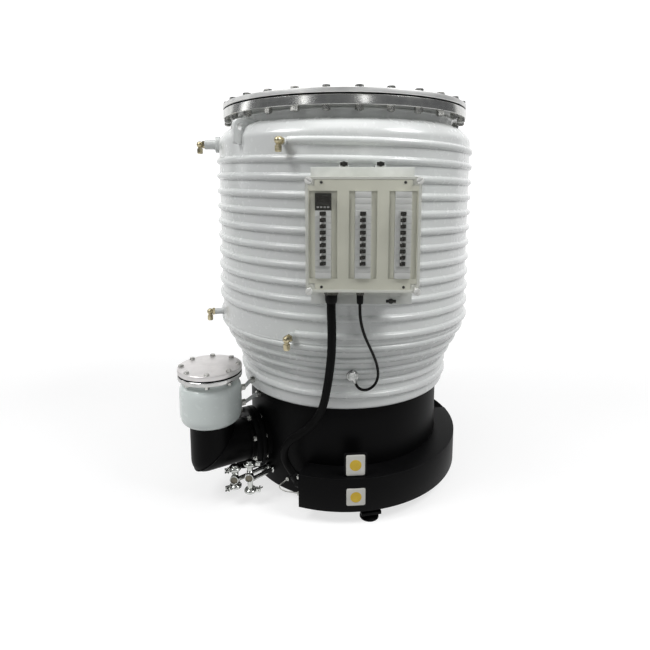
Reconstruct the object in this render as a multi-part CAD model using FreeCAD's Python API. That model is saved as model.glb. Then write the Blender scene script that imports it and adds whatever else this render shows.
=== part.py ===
import FreeCAD, Part
import os
from math import acos, cos, degrees, pi, radians, sin, tan

# A large oil diffusion pump, shipped with its inlet and foreline blanked off.
# Lengths are in millimetres. Z is measured up from the floor and the pump's axis is X = Y = 0.
# A bearing is an angle about that axis: 0 is the front (-Y), 90 the right-hand side (+X).

# Heights of the stack, from the floor up
FOOT_HEIGHT = 34.0
BOILER_HEIGHT = 352.0
LOWER_HEIGHT = 103.0
CONE_HEIGHT = 150.0
BULGE_HEIGHT = 660.0
SHOULDER_HEIGHT = 50.0
NECK_HEIGHT = 28.0
INLET_FLANGE_THICK = 30.0
INLET_SEAL_GAP = 5.0
COVER_THICK = 16.0

# The boiler's diameter, and how far each level stands out or in from the one below it
BOILER_OD = 756.0
LOWER_STEP = 24.0
CONE_STEP = 76.0
SHOULDER_STEP = 22.0
NECK_STEP = 46.0
BODY_WALL = 8.0
BOILER_WALL = 8.0
BOILER_FLOOR = 14.0
SHOULDER_BREAK = 18.0

# Inlet joint
INLET_FLANGE_LAND = 50.0
INLET_BOLT_EDGE = 15.0
INLET_BOLT_COUNT = 28
INLET_BOLT_BEARING = 6.0
INLET_HOLE_DIA = 14.0
INLET_SEAL_BORE_GAP = 4.0
INLET_SEAL_RIM_GAP = 3.0

# Bolts: thread, width across flats, head and nut heights
INLET_BOLT = dict(thread=12.0, flats=18.0, head=7.5, nut=10.0)
FORELINE_BOLT = dict(thread=10.0, flats=16.0, head=6.5, nut=8.0)
RAIL_BOLT = dict(thread=8.0, flats=13.0, head=5.5, nut=6.5)
THREAD_SIDES = 8
THREAD_FIT = 0.96
THREAD_TAIL = 0.25

# Cooling channels: half pipes welded round the wall
CHANNEL_WIDTH = 20.0
CHANNEL_RISE = 10.0
CHANNEL_CREST = 10.0
CHANNEL_STEPS = 32
CHANNEL_SEAT = 0.4
UPPER_COIL_START = -20.75
UPPER_COIL_END = -78.0
UPPER_COIL_TURNS = 11
UPPER_COIL_FOOT = 13.9
UPPER_COIL_DROP = 26.0
UPPER_COIL_DIVE = 26.0
UPPER_COIL_DIVE_ARC = 50.0
LOWER_COIL_START = -18.55
LOWER_COIL_END = 240.0
LOWER_COIL_TURNS = 5
LOWER_COIL_FOOT = 21.8
LOWER_COIL_GAP = 27.8

# Water ports
STUB_DIA = 24.0
STUB_REACH = 12.0
OUTLET_STUB_REACH = 24.0
UPPER_PORT_DROP = 3.0
LOWER_PORT_DROP = 9.0
CAP_STUB_DIA = 36.0
CAP_STUB_REACH = 44.0
CAP_SLEEVE_DIA = 60.0
CAP_SLEEVE_REACH = 14.0
CAP_PORT_DROP = 10.0
CAP_SUPPLY_BEARING = -81.0
CAP_RETURN_BEARING = 160.0
ELBOW_FLATS = 24.0
ELBOW_ARM = 10.0
ELBOW_DIA = 22.0
ELBOW_LENGTH = 46.0
ELBOW_OVERLAP = 2.0
ELBOW_BORE = 15.0
ELBOW_BORE_DEPTH = 26.0

# Lifting lugs on the shoulder
LUG_COUNT = 2
LUG_BEARING = -45.0
LUG_THICK = 15.0
LUG_RADIUS = 26.0
LUG_EYE_DIA = 24.0
LUG_EYE_OVERHANG = 2.0
LUG_EYE_RISE = 26.0
LUG_FOOT = 30.0

# Jets, tie rod and cold cap inside the body
JET_SHEET = 4.0
JET_FOOT_HEIGHT = 165.0
JET_FOOT_R = 300.0
JET_MIDDLE_HEIGHT = 500.0
JET_MIDDLE_R = 180.0
JET_MIDDLE_SKIRT_R = 295.0
JET_TOP_HEIGHT = 1000.0
JET_TOP_R = 95.0
JET_TOP_SKIRT_R = 260.0
JET_SKIRT_FALL = 90.0
JET_LEG_COUNT = 3
JET_LEG_BEARING = 10.0
JET_LEG_WIDTH = 16.0
TIE_ROD_DIA = 20.0
TIE_ROD_NUT = 36.0
TIE_ROD_NUT_HEIGHT = 18.0
COLD_CAP_DIA = 400.0
COLD_CAP_HEIGHT = 40.0
COLD_CAP_GAP = 60.0
CAP_PIPE_DIA = 18.0
CAP_PIPE_REACH = 120.0

# Boiler heaters
HEATER_COUNT = 9
HEATER_FIRST_BEARING = -6.0
HEATER_STEP = 26.0
HEATER_HEIGHT = 100.0
HEATER_DIA = 18.0
HEATER_REACH = 130.0
HEATER_HEX = 46.0
HEATER_HEX_LENGTH = 18.0
HEATER_PIN_DIA = 12.0
HEATER_PIN_LENGTH = 22.0

# Terminal duct round the foot of the boiler
DUCT_DEPTH = 80.0
DUCT_TOP = 169.0
DUCT_BOTTOM = 49.0
DUCT_SHEET = 3.0
DUCT_START = -19.0
DUCT_END = 215.0
DUCT_GAP_START = 102.0
DUCT_GAP_END = 118.0
DUCT_FIT = 0.3

# Bare plates at the front of the duct
PLATE_BEARING = 5.7
PLATE_WIDTH = 64.0
PLATE_THICK = 1.5
PLATE_CORNER = 6.0
UPPER_PLATE_HEIGHT = 74.0
LOWER_PLATE_HEIGHT = 62.0
LOWER_PLATE_BASE = 73.0
TAB_MARGIN = 7.0
TAB_SHEET = 3.0
TAB_SETBACK = 16.0
TAB_BASE_GAP = 3.0

# Levelling feet
FOOT_COUNT = 4
FOOT_BEARING = 13.0
FOOT_STAND_OFF = 37.0
FOOT_TAB_WIDTH = 70.0
FOOT_TAB_THICK = 12.0
FOOT_TAB_LAP = 38.0
FOOT_TAB_NOSE = 31.0
FOOT_STEM_DIA = 24.0
FOOT_PAD_DIA = 66.0
FOOT_PAD_THICK = 10.0
FOOT_PAD_RIM = 4.0

# Foreline and its cooled baffle
FORELINE_BEARING = -57.9
FORELINE_HEIGHT = 190.0
FORELINE_REACH = 561.0
FORELINE_OD = 154.0
FORELINE_WALL = 3.0
FORELINE_COLLAR_LAND = 21.0
FORELINE_COLLAR_LENGTH = 6.0
FORELINE_STUB_LENGTH = 14.0
ISO_FLANGE_LAND = 35.5
ISO_FLANGE_THICK = 16.0
ISO_BOLT_EDGE = 12.5
ISO_BOLT_COUNT = 8
ISO_HOLE_DIA = 11.0
ISO_SEAL_GAP = 4.5
ISO_SEAL_BORE_GAP = 4.0
ISO_SEAL_RIM_GAP = 2.0
BAFFLE_OD = 218.0
BAFFLE_WALL = 4.0
BAFFLE_RISE = 106.0
BAFFLE_SOCKET = 10.0
BAFFLE_ROUND = 34.0
BAFFLE_WALL_HEIGHT = 83.0
BAFFLE_NECK_INSET = 23.5
BAFFLE_NECK_HEIGHT = 16.0
BAFFLE_FACETS = 5
BAFFLE_BOLT_BEARING = 16.5
FORELINE_COVER_THICK = 18.0
CHEVRON_COUNT = 2
CHEVRON_STEP = 40.0
CHEVRON_OD = 150.0
CHEVRON_SHEET = 3.0
CHEVRON_RISE = 39.0
BAFFLE_ROD_DIA = 12.0

# Water pipes between the boiler top and the baffle housing
LINK_PIPE_DIA = 14.0
LINK_POT_RISES = (44.0, 103.0)
LINK_RISE = 20.0
LINK_NUT_FLATS = 22.0
LINK_NUT_LENGTH = 14.0
LINK_BEARING = -56.0

# Oil service pipes, for filling and draining: where each stands, its two ends, its sight glass and the
# side that its clamps close on
FILL_PIPE_BEARING = -43.3
FILL_PIPE_STAND_OFF = 103.0
FILL_PIPE_TOP = 166.0
FILL_PIPE_BOTTOM = 46.0
FILL_GLASS_HEIGHT = 112.0
FILL_CLAMP_SIDE = 90.0
DRAIN_PIPE_BEARING = -47.6
DRAIN_PIPE_STAND_OFF = 141.0
DRAIN_PIPE_TOP = 148.0
DRAIN_PIPE_BOTTOM = 62.0
DRAIN_GLASS_HEIGHT = 104.0
DRAIN_CLAMP_SIDE = -60.0
SERVICE_PIPE_DIA = 20.0
SERVICE_FLANGE_DIA = 30.0
SERVICE_FLANGE_THICK = 6.0
SERVICE_CAP_THICK = 9.0
SERVICE_FEED_DIA = 16.0
SERVICE_FEED_HEIGHT = 92.0
CLAMP_DIA = 45.0
CLAMP_HEIGHT = 14.0
CLAMP_LUG = 15.0
CLAMP_LUG_WIDTH = 10.0
WING_HUB_DIA = 12.0
WING_HUB_LENGTH = 8.0
WING_SPAN = 24.0
WING_HEIGHT = 12.0
WING_THICK = 3.0
GLASS_DIA = 26.0
GLASS_LENGTH = 12.0
GLASS_RIM = 3.0
GLASS_REACH = 22.0

# Junction box on its rails
BOX_CENTRE_X = 54.6
BOX_CENTRE_Z = 998.0
RAIL_END_GAP = 6.5
RAIL_HEIGHT = 41.0
RAIL_DEPTH = 25.0
RAIL_SHEET = 2.5
RAIL_SLOT = 5.0
TOP_RAIL_RISE = 191.5
BOTTOM_RAIL_FALL = 214.5
BRACKET_WIDTH = 30.0
BRACKET_PLATE = 6.0
BRACKET_FOOT_HEIGHT = 26.0
TOP_BRACKET_DROP = 18.5
BOTTOM_BRACKET_RISE = 4.5
TOP_BRACKET_SPACING = 108.0
BOTTOM_BRACKET_SPACING = 178.0
TAB_RISE = 18.0
TOP_BOLT_RISE = 10.0
BOTTOM_BOLT_RISE = 9.0
RAIL_STAND_OFF = 47.0
STRAP_SPACING = 200.0
STRAP_WIDTH = 30.0
STRAP_SHEET = 3.0
STRAP_TOP_LAP = 11.5
STRAP_BOTTOM_LAP = 16.5
BASE_SIDE_ROOM = 3.0
BASE_HEAD_ROOM = 33.0
BASE_FACE_ROOM = 6.5
BASE_RIM = 4.0
BOX_WALL = 4.0
BOX_CORNER = 8.0
BASE_BOSS = 22.0
LID_LAP = 4.0
LID_DEPTH = 44.7
LID_WALL = 3.0
LID_GAP = 0.3
LID_SCREW_INSET = 12.0
LID_SCREW_HEAD = 20.0
LID_SCREW_HEAD_THICK = 5.0
LID_SCREW_PROUD = 1.5
LID_PILLAR_DIA = 23.0
LID_SCREW_SHANK = 6.0
LID_SCREW_ENTRY = 18.0
LID_SCREW_CLEARANCE = 1.0
LID_SCREW_SLOT = 2.5
LID_SCREW_SLOT_DEPTH = 2.0

# Modular switchgear behind the lid
MODULE_PITCH = 17.5
MODULE_COUNT = 14
COLUMN_SPACING = 111.5
MODULE_GAP = 0.3
MODULE_REAR_WIDTH = 78.0
NOSE_WIDTH = 45.0
NOSE_SHIFT = -2.0
DIN_RAIL_WIDTH = 35.0
DIN_RAIL_HAT = 27.0
DIN_RAIL_DEPTH = 7.5
DIN_RAIL_SHEET = 1.2
DIN_RAIL_OVER = 6.5
MODULE_SHOULDER_DEPTH = 51.0
NOSE_DEPTH = 17.0
BLANK_SET_BACK = 3.0
POLES_PER_BREAKER = 3
BREAKERS_PER_COLUMN = 3
MODULES_ABOVE = 3
MODULES_BELOW = 2
HANDLE_BARREL_DIA = 15.0
HANDLE_SINK = 2.5
HANDLE_CLEARANCE = 0.5
HANDLE_SLOT_MARGIN = 1.5
HANDLE_TILT = 32.0
HANDLE_LEVER_REACH = 15.0
HANDLE_LEVER_WIDTH = 5.0
HANDLE_LEVER_LENGTH = 10.0
HANDLE_TIE = 4.0
FASCIA_SET_BACK = 1.0
FASCIA_NOTCH = 28.0
FASCIA_SHEET = 2.0
WINDOW_WIDTH = 68.0
WINDOW_MARGIN = 1.0
WINDOW_SHIFT = 3.5
KEY_COUNT = 4
KEY_WIDTH = 6.0
KEY_HEIGHT = 4.0
KEY_STEP = 9.5
KEY_POCKET = 4.0
KEY_SUNK = 3.0
KEY_PROUD = 1.6
KEY_CLEARANCE = 0.3
KEY_ROW = 9.0
DISPLAY_WIDTH = 36.0
DISPLAY_HEIGHT = 22.0
DISPLAY_RECESS = 1.5

# Glands
CONDUIT_GLAND = dict(x=-35.0, flats=36.0, length=41.5)
SENSOR_GLAND = dict(x=49.0, flats=20.0, length=43.5)
GLAND_SET_OFF = 42.0
GLAND_NUT_SHARE = 0.4
GLAND_MOUTH_SHARE = 0.86
DUCT_GLAND_OUT = 40.0
DUCT_GLAND_HEIGHT = 112.0
DUCT_GLAND_NUT = 12.0
DUCT_GLAND_LENGTH = 36.0
DUCT_GLAND_LEAN = 50.0

# Cords, with the points that each one's route turns at
CORD_ARC_SHARE = 0.45
CONDUIT_DIA = 27.0
CONDUIT_ROUTE = (
    (-35, -570, 797), (-35, -570, 772), (-33.5, -567, 736), (-33, -558, 694), (-34, -544, 650), (-37, -526, 604),
    (-42, -505, 557), (-51, -477, 490), (-63, -449, 421), (-84, -429, 370), (-112, -420, 332), (-146, -416, 303),
    (-176, -409, 281), (-195, -399, 253), (-203, -388, 221), (-200, -380, 189), (-186.33, -377.93, 161.03),
    (-169.31, -383.79, 139.58),
)
SENSOR_CABLE_DIA = 9.0
SENSOR_CABLE_ROUTE = (
    (49, -570, 795), (49, -570, 765), (53, -563, 735), (60, -550, 706), (70, -533, 675), (84, -508, 640),
    (99, -478, 600), (111, -453, 562), (116, -436, 522), (109.5, -430, 495.5), (97, -428.5, 479),
    (82.5, -428.5, 470.5), (67.9, -429.5, 469.4), (55.7, -430.3, 473.8), (46.32, -431.16, 482.84),
    (41.46, -431.52, 494.89),
)
EARTH_LEAD_DIA = 4.5
EARTH_LEAD_ROUTE = (
    (-199, -337.8, 90), (-210.2, -356.8, 90), (-219, -376, 94), (-221, -395, 98), (-210, -410, 97),
    (-191, -415, 93), (-170, -415.3, 92), (-151.1, -421.8, 92),
)

# Thermostat on the cone, and the earth studs
THERMOSTAT_BEARING = 4.2
THERMOSTAT_RISE = 30.0
THERMOSTAT_DIA = 40.0
THERMOSTAT_DEPTH = 34.0
THERMOSTAT_CAP_DIA = 30.0
THERMOSTAT_CAP = 4.0
THERMOSTAT_NIPPLE_DIA = 14.0
THERMOSTAT_NIPPLE = 6.0
THERMOSTAT_NIPPLE_SET_BACK = 2.6
THERMOSTAT_NIPPLE_LEAN = 22.0
EARTH_STUD_INSET = 10.0
EARTH_STUD_HEIGHTS = (92.0, 152.0)
EARTH_POST_BEARING = -30.5
EARTH_POST_LENGTH = 14.0
EARTH_POST_DIA = 14.0

# Levels and radii worked out from the sizes above
BOILER_BOTTOM = FOOT_HEIGHT
BOILER_TOP = BOILER_BOTTOM + BOILER_HEIGHT
LOWER_TOP = BOILER_TOP + LOWER_HEIGHT
CONE_TOP = LOWER_TOP + CONE_HEIGHT
BULGE_TOP = CONE_TOP + BULGE_HEIGHT
NECK_BOTTOM = BULGE_TOP + SHOULDER_HEIGHT
FLANGE_BOTTOM = NECK_BOTTOM + NECK_HEIGHT
FLANGE_TOP = FLANGE_BOTTOM + INLET_FLANGE_THICK
COVER_BOTTOM = FLANGE_TOP + INLET_SEAL_GAP
COVER_TOP = COVER_BOTTOM + COVER_THICK
BOILER_R = BOILER_OD / 2
LOWER_R = BOILER_R + LOWER_STEP
BULGE_R = LOWER_R + CONE_STEP
SHOULDER_R = BULGE_R - SHOULDER_STEP
NECK_R = SHOULDER_R - NECK_STEP
INLET_BORE_R = NECK_R - BODY_WALL
INLET_FLANGE_R = NECK_R + INLET_FLANGE_LAND
DUCT_R = BOILER_R + DUCT_DEPTH
FORELINE_R = FORELINE_OD / 2
ISO_FLANGE_OD = FORELINE_OD + 2 * ISO_FLANGE_LAND
BAFFLE_BASE = FORELINE_HEIGHT + BAFFLE_RISE
MODULE_STACK = MODULE_COUNT * MODULE_PITCH
BASE_WIDTH = 2 * COLUMN_SPACING + MODULE_REAR_WIDTH + 2 * (BASE_SIDE_ROOM + BOX_WALL)
BASE_HEIGHT = MODULE_STACK + 2 * (BASE_HEAD_ROOM + BOX_WALL)
BASE_DEPTH = BOX_WALL + DIN_RAIL_DEPTH + MODULE_SHOULDER_DEPTH + BASE_FACE_ROOM + FASCIA_SHEET + FASCIA_SET_BACK
LID_WIDTH = BASE_WIDTH + 2 * LID_LAP
LID_HEIGHT = BASE_HEIGHT + 2 * LID_LAP
TOP_RAIL_TOP = BOX_CENTRE_Z + TOP_RAIL_RISE
BOTTOM_RAIL_BOTTOM = BOX_CENTRE_Z - BOTTOM_RAIL_FALL
RAIL_FACE_Y = -BULGE_R - RAIL_STAND_OFF

UP = FreeCAD.Vector(0, 0, 1)
FRONT = FreeCAD.Vector(0, -1, 0)
AXIS = FreeCAD.Vector(0, 0, 0)


def vec(x, y, z):
    return FreeCAD.Vector(x, y, z)


def at(reach, bearing, z):
    """The point at a distance from the pump's axis, on a bearing and at a height."""
    angle = radians(bearing)
    return vec(reach * sin(angle), -reach * cos(angle), z)


def outward(bearing):
    """The level direction that points away from the pump's axis on a bearing."""
    return at(1.0, bearing, 0.0)


def turned(shape, bearing):
    """A shape built at the front, carried round the pump's axis to a bearing."""
    copy = shape.copy()
    copy.rotate(AXIS, UP, bearing)
    return copy


def ring_of(shape, count, first=0.0):
    """Equal copies of a shape, spaced evenly round the pump's axis."""
    return [turned(shape, first + 360.0 * i / count) for i in range(count)]


def rod(dia, start, direction, length):
    return Part.makeCylinder(dia / 2, length, start, direction)


def tube(outer, inner, start, direction, length):
    return rod(outer, start, direction, length).cut(rod(inner, start, direction, length))


def prism(sides, flats, start, direction, length):
    """A bar with flat sides, its width given across the flats."""
    corner = flats / 2 / cos(pi / sides)
    points = [vec(corner * cos(2 * pi * (i + 0.5) / sides), corner * sin(2 * pi * (i + 0.5) / sides), 0)
              for i in range(sides)]
    bar = Part.Face(Part.makePolygon(points + points[:1])).extrude(UP * length)
    bar.Placement = FreeCAD.Placement(start, FreeCAD.Rotation(UP, direction))
    return bar


def block(x0, x1, y0, y1, z0, z1):
    """A box between two corners."""
    return Part.makeBox(x1 - x0, y1 - y0, z1 - z0, vec(x0, y0, z0))


def rounded_block(x0, x1, y0, y1, z0, z1, radius):
    """A box whose four edges along Y are rounded."""
    box = block(x0, x1, y0, y1, z0, z1)
    along_y = [e for e in box.Edges if abs(e.tangentAt(e.FirstParameter).y) > 0.99]
    return box.makeFillet(radius, along_y)


def revolved(points, centre_x=0.0, centre_y=0.0):
    """A closed outline of (radius, height) points, spun about an upright axis."""
    corners = [vec(centre_x + r, centre_y, z) for r, z in points]
    face = Part.Face(Part.makePolygon(corners + corners[:1]))
    return face.revolve(vec(centre_x, centre_y, 0), UP, 360)


def save(name, solids):
    """One file for a node, which may hold several separate solids."""
    solids = solids if isinstance(solids, (list, tuple)) else [solids]
    pieces = [s for shape in solids for s in shape.Solids]
    shape = pieces[0] if len(pieces) == 1 else Part.makeCompound(pieces)
    shape.exportStep("parts/" + name + ".step")


def made_up_bolt(size, head_seat, direction, grip, with_nut=True):
    """A hexagon bolt whose head rests at head_seat; the shank runs back through the grip to its nut.

    Returns the bolt and the nut as separate solids."""
    thread, flats = size["thread"], size["flats"]
    back = direction * -1
    tail = size["nut"] + thread * THREAD_TAIL if with_nut else 0.0
    head = prism(6, flats, head_seat, direction, size["head"])
    shank = prism(THREAD_SIDES, thread * THREAD_FIT, head_seat, back, grip + tail)
    bolt = head.fuse(shank)
    if not with_nut:
        return bolt, None
    nut_seat = head_seat + back * grip
    hole = prism(THREAD_SIDES, thread, nut_seat, back, size["nut"])
    nut = prism(6, flats, nut_seat, back, size["nut"]).cut(hole)
    return bolt, nut


os.makedirs("parts", exist_ok=True)

# Cooled body: one welded shell with neck, shoulder, bulge, cone and lower barrel


def body_outline(inset):
    """The body's outline, from the neck down to the boiler, moved in by a wall's thickness."""
    return [
        (NECK_R - inset, FLANGE_BOTTOM),
        (NECK_R - inset, NECK_BOTTOM),
        (SHOULDER_R - inset, NECK_BOTTOM - SHOULDER_BREAK),
        (BULGE_R - inset, BULGE_TOP),
        (BULGE_R - inset, CONE_TOP),
        (LOWER_R - inset, LOWER_TOP),
    ]


def body_radius(z):
    """The outer radius of the body at a height."""
    profile = body_outline(0.0) + [(LOWER_R, BOILER_TOP)]
    for (r_high, z_high), (r_low, z_low) in zip(profile, profile[1:]):
        if z >= z_low:
            return r_low + (r_high - r_low) * (z - z_low) / (z_high - z_low)
    return LOWER_R


BODY_BORE = BOILER_R - BOILER_WALL
outer_line = body_outline(0.0) + [(LOWER_R, BOILER_TOP), (BODY_BORE, BOILER_TOP)]
inner_line = [(BODY_BORE, BOILER_TOP + BODY_WALL), (LOWER_R - BODY_WALL, BOILER_TOP + BODY_WALL)]
pump_body = revolved(outer_line + inner_line + list(reversed(body_outline(BODY_WALL))))
body_core = revolved(body_outline(0.0) + [(LOWER_R, BOILER_TOP), (0.0, BOILER_TOP), (0.0, FLANGE_BOTTOM)])

save("pump_body", pump_body)

# Inlet flange, seal, transport cover and its bolts

bolt_r = INLET_FLANGE_R - INLET_BOLT_EDGE
flange_dia, flange_bore = 2 * INLET_FLANGE_R, 2 * INLET_BORE_R
bolt_span = COVER_TOP - FLANGE_BOTTOM
inlet_hole = prism(THREAD_SIDES, INLET_HOLE_DIA, at(bolt_r, 0, FLANGE_BOTTOM), UP, bolt_span)
inlet_holes = Part.makeCompound(ring_of(inlet_hole, INLET_BOLT_COUNT, INLET_BOLT_BEARING))
flange_blank = tube(flange_dia, flange_bore, vec(0, 0, FLANGE_BOTTOM), UP, INLET_FLANGE_THICK)
save("inlet_flange", flange_blank.cut(inlet_holes))
cover_blank = rod(flange_dia, vec(0, 0, COVER_BOTTOM), UP, COVER_THICK)
save("transport_cover", cover_blank.cut(inlet_holes))

gasket_blank = tube(flange_dia - 2 * INLET_SEAL_RIM_GAP, flange_bore + 2 * INLET_SEAL_BORE_GAP,
                    vec(0, 0, FLANGE_TOP), UP, INLET_SEAL_GAP)
inlet_gasket = gasket_blank.cut(inlet_holes)
inlet_bolt, inlet_nut = made_up_bolt(INLET_BOLT, at(bolt_r, 0, COVER_TOP), UP, bolt_span)
save("cover_bolts", [solid for half in (inlet_bolt, inlet_nut)
                     for solid in ring_of(half, INLET_BOLT_COUNT, INLET_BOLT_BEARING)])

# Cooling channels: a trapezoid half pipe laid round the wall on a falling line


def channel_section(bearing, z):
    """The channel's outline at one place: two feet on the wall and a flat crest."""
    lift = 1.0 / cos(pi / CHANNEL_STEPS)
    half, crest = CHANNEL_WIDTH / 2, CHANNEL_CREST / 2
    foot = [(body_radius(z - half) + CHANNEL_SEAT, z - half), (body_radius(z + half) + CHANNEL_SEAT, z + half)]
    top = [(body_radius(z + crest) + CHANNEL_RISE, z + crest), (body_radius(z - crest) + CHANNEL_RISE, z - crest)]
    points = [at(r * lift, bearing, h) for r, h in foot + top]
    return Part.makePolygon(points + points[:1])


def channel(start, end, turns, height_of):
    """A channel from one bearing to another, with whole turns between, at heights from a function."""
    sweep = 360.0 * turns + end - start
    steps = round(sweep / 360.0 * CHANNEL_STEPS)
    bearings = [start + sweep * i / steps for i in range(steps + 1)]
    return Part.makeLoft([channel_section(b, height_of(b)) for b in bearings], True, True)


def upper_coil_height(bearing):
    """Falls evenly down the bulge and dives a little more over the last stretch, to its outlet."""
    last = 360.0 * UPPER_COIL_TURNS + UPPER_COIL_END
    share = max(0.0, 1.0 - (last - bearing) / UPPER_COIL_DIVE_ARC)
    fall = BULGE_HEIGHT - UPPER_COIL_DROP - UPPER_COIL_DIVE - UPPER_COIL_FOOT
    along = (bearing - UPPER_COIL_START) / (last - UPPER_COIL_START)
    return BULGE_TOP - UPPER_COIL_DROP - fall * along - UPPER_COIL_DIVE * share * share


def lower_coil_height(bearing):
    """Falls evenly from just above the cone to just above the boiler."""
    last = 360.0 * LOWER_COIL_TURNS + LOWER_COIL_END
    fall = LOWER_COIL_GAP + CONE_TOP - BOILER_TOP - LOWER_COIL_FOOT
    return CONE_TOP + LOWER_COIL_GAP - fall * (bearing - LOWER_COIL_START) / (last - LOWER_COIL_START)


save("upper_cooling_coil", channel(UPPER_COIL_START, UPPER_COIL_END, UPPER_COIL_TURNS, upper_coil_height))
lower_coil = channel(LOWER_COIL_START, LOWER_COIL_END, LOWER_COIL_TURNS, lower_coil_height).cut(body_core)
save("lower_cooling_coil", lower_coil)

# Water ports: white stubs on the wall or on a channel's end, each with a brass elbow that points down

CAP_PORT_HEIGHT = BULGE_TOP - CAP_PORT_DROP


def coil_port(height_of, end, side, reach, drop):
    """A stub just past a channel's end and a little below its line, so that it meets the channel."""
    z = height_of(end) - drop
    return dict(bearing=end + side * degrees(STUB_DIA / 2 / body_radius(z)), z=z, sleeve=0.0, reach=reach)


def cap_port(bearing):
    return dict(bearing=bearing, z=CAP_PORT_HEIGHT, sleeve=CAP_SLEEVE_DIA, reach=CAP_STUB_REACH)


WATER_PORTS = (
    coil_port(upper_coil_height, UPPER_COIL_START, -1, STUB_REACH, UPPER_PORT_DROP),
    coil_port(upper_coil_height, 360.0 * UPPER_COIL_TURNS + UPPER_COIL_END, 1, OUTLET_STUB_REACH, 0.0),
    coil_port(lower_coil_height, LOWER_COIL_START, -1, STUB_REACH, LOWER_PORT_DROP),
    coil_port(lower_coil_height, 360.0 * LOWER_COIL_TURNS + LOWER_COIL_END, 1, STUB_REACH, 0.0),
    cap_port(CAP_SUPPLY_BEARING),
    cap_port(CAP_RETURN_BEARING),
)


def port_end(port):
    """How far a port's stub reaches from the pump's axis."""
    return body_radius(port["z"]) + CHANNEL_RISE + port["reach"]


def stub(port):
    """A short pipe out of the wall, with a wider sleeve at its foot where the wall is pierced."""
    inside = at(body_radius(port["z"]) - CHANNEL_WIDTH, port["bearing"], port["z"])
    length = port_end(port) - body_radius(port["z"]) + CHANNEL_WIDTH
    dia = CAP_STUB_DIA if port["sleeve"] else STUB_DIA
    pipe = rod(dia, inside, outward(port["bearing"]), length)
    if port["sleeve"]:
        reach = CAP_SLEEVE_REACH + CHANNEL_WIDTH
        pipe = pipe.fuse(rod(port["sleeve"], inside, outward(port["bearing"]), reach))
    return pipe.cut(body_core)


def elbow(port):
    """A brass elbow: a hexagon arm from the stub and a round leg that hangs down, bored for the hose."""
    end = at(port_end(port), port["bearing"], port["z"])
    arm = prism(6, ELBOW_FLATS, end, outward(port["bearing"]), ELBOW_ARM)
    reach = port_end(port) + ELBOW_ARM + ELBOW_DIA / 2 - ELBOW_OVERLAP
    top = at(reach, port["bearing"], port["z"] + ELBOW_FLATS / 2)
    leg = rod(ELBOW_DIA, top, UP * -1, ELBOW_LENGTH)
    mouth = top - UP * ELBOW_LENGTH
    return arm.fuse(leg).cut(rod(ELBOW_BORE, mouth, UP, ELBOW_BORE_DEPTH))


save("water_stubs", [stub(port) for port in WATER_PORTS])
save("water_elbows", [elbow(port) for port in WATER_PORTS])

# Lifting lugs: upright plates welded to the neck and shoulder, each with an eye

lug_reach, lug_level = BULGE_R + LUG_EYE_OVERHANG, BULGE_TOP + LUG_EYE_RISE
lug_eye = at(lug_reach, 0, lug_level)
lug_rise = rod(2 * LUG_RADIUS, lug_eye + vec(-LUG_THICK / 2, 0, 0), vec(1, 0, 0), LUG_THICK)
lug_web = block(-LUG_THICK / 2, LUG_THICK / 2, -lug_reach - LUG_RADIUS, -NECK_R + LUG_RADIUS,
                BULGE_TOP - LUG_FOOT, lug_level)
lug_back = block(-LUG_THICK / 2, LUG_THICK / 2, -lug_reach, -NECK_R + LUG_RADIUS,
                 lug_level, lug_level + LUG_RADIUS)
lug = lug_rise.fuse([lug_web, lug_back]).cut(body_core)
lug = lug.cut(rod(LUG_EYE_DIA, lug_eye + vec(-LUG_THICK, 0, 0), vec(1, 0, 0), 2 * LUG_THICK))
save("lifting_lugs", ring_of(lug, LUG_COUNT, LUG_BEARING))

# Jets: a chimney on legs, an upper chimney whose skirt shades it, and a cap held down by the tie rod


def chimney(foot_r, foot, top_r, top, skirt_r=None):
    """A tapering sheet chimney, with a skirt that flares down from its foot where one is given."""
    outline = [(top_r - JET_SHEET, top), (top_r, top)]
    if skirt_r:
        lip = foot - JET_SKIRT_FALL
        outline += [(foot_r, foot + 2 * JET_SHEET), (skirt_r, lip), (skirt_r - JET_SHEET, lip)]
    outline += [(foot_r, foot), (foot_r - JET_SHEET, foot)]
    return revolved(outline)


boiler_floor_top = BOILER_BOTTOM + BOILER_FLOOR
leg_r = JET_FOOT_R - JET_SHEET / 2
leg_half = JET_LEG_WIDTH / 2
jet_leg = block(-leg_half, leg_half, -leg_r - leg_half, -leg_r + leg_half, boiler_floor_top, JET_FOOT_HEIGHT)
jet_legs = ring_of(jet_leg, JET_LEG_COUNT, JET_LEG_BEARING)
base_chimney = chimney(JET_FOOT_R, JET_FOOT_HEIGHT, JET_MIDDLE_R, JET_MIDDLE_HEIGHT)
save("jet_base_stage", base_chimney.fuse(jet_legs))
save("jet_upper_stage", chimney(JET_MIDDLE_R, JET_MIDDLE_HEIGHT, JET_TOP_R, JET_TOP_HEIGHT, JET_MIDDLE_SKIRT_R))
cap_top = JET_TOP_HEIGHT + 3 * JET_SHEET
cap_lip = JET_TOP_HEIGHT - JET_SKIRT_FALL
rod_r = TIE_ROD_DIA / 2
jet_cap_line = [(rod_r, JET_TOP_HEIGHT), (JET_TOP_R, JET_TOP_HEIGHT), (JET_TOP_SKIRT_R - JET_SHEET, cap_lip),
                (JET_TOP_SKIRT_R, cap_lip), (JET_TOP_R, cap_top), (rod_r, cap_top)]
save("jet_cap", revolved(jet_cap_line))
nut_top = cap_top + TIE_ROD_NUT_HEIGHT
tie_rod = rod(TIE_ROD_DIA, vec(0, 0, boiler_floor_top), UP, nut_top + TIE_ROD_DIA / 2 - boiler_floor_top)
tie_nut = prism(6, TIE_ROD_NUT, vec(0, 0, cap_top), UP, TIE_ROD_NUT_HEIGHT)
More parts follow.
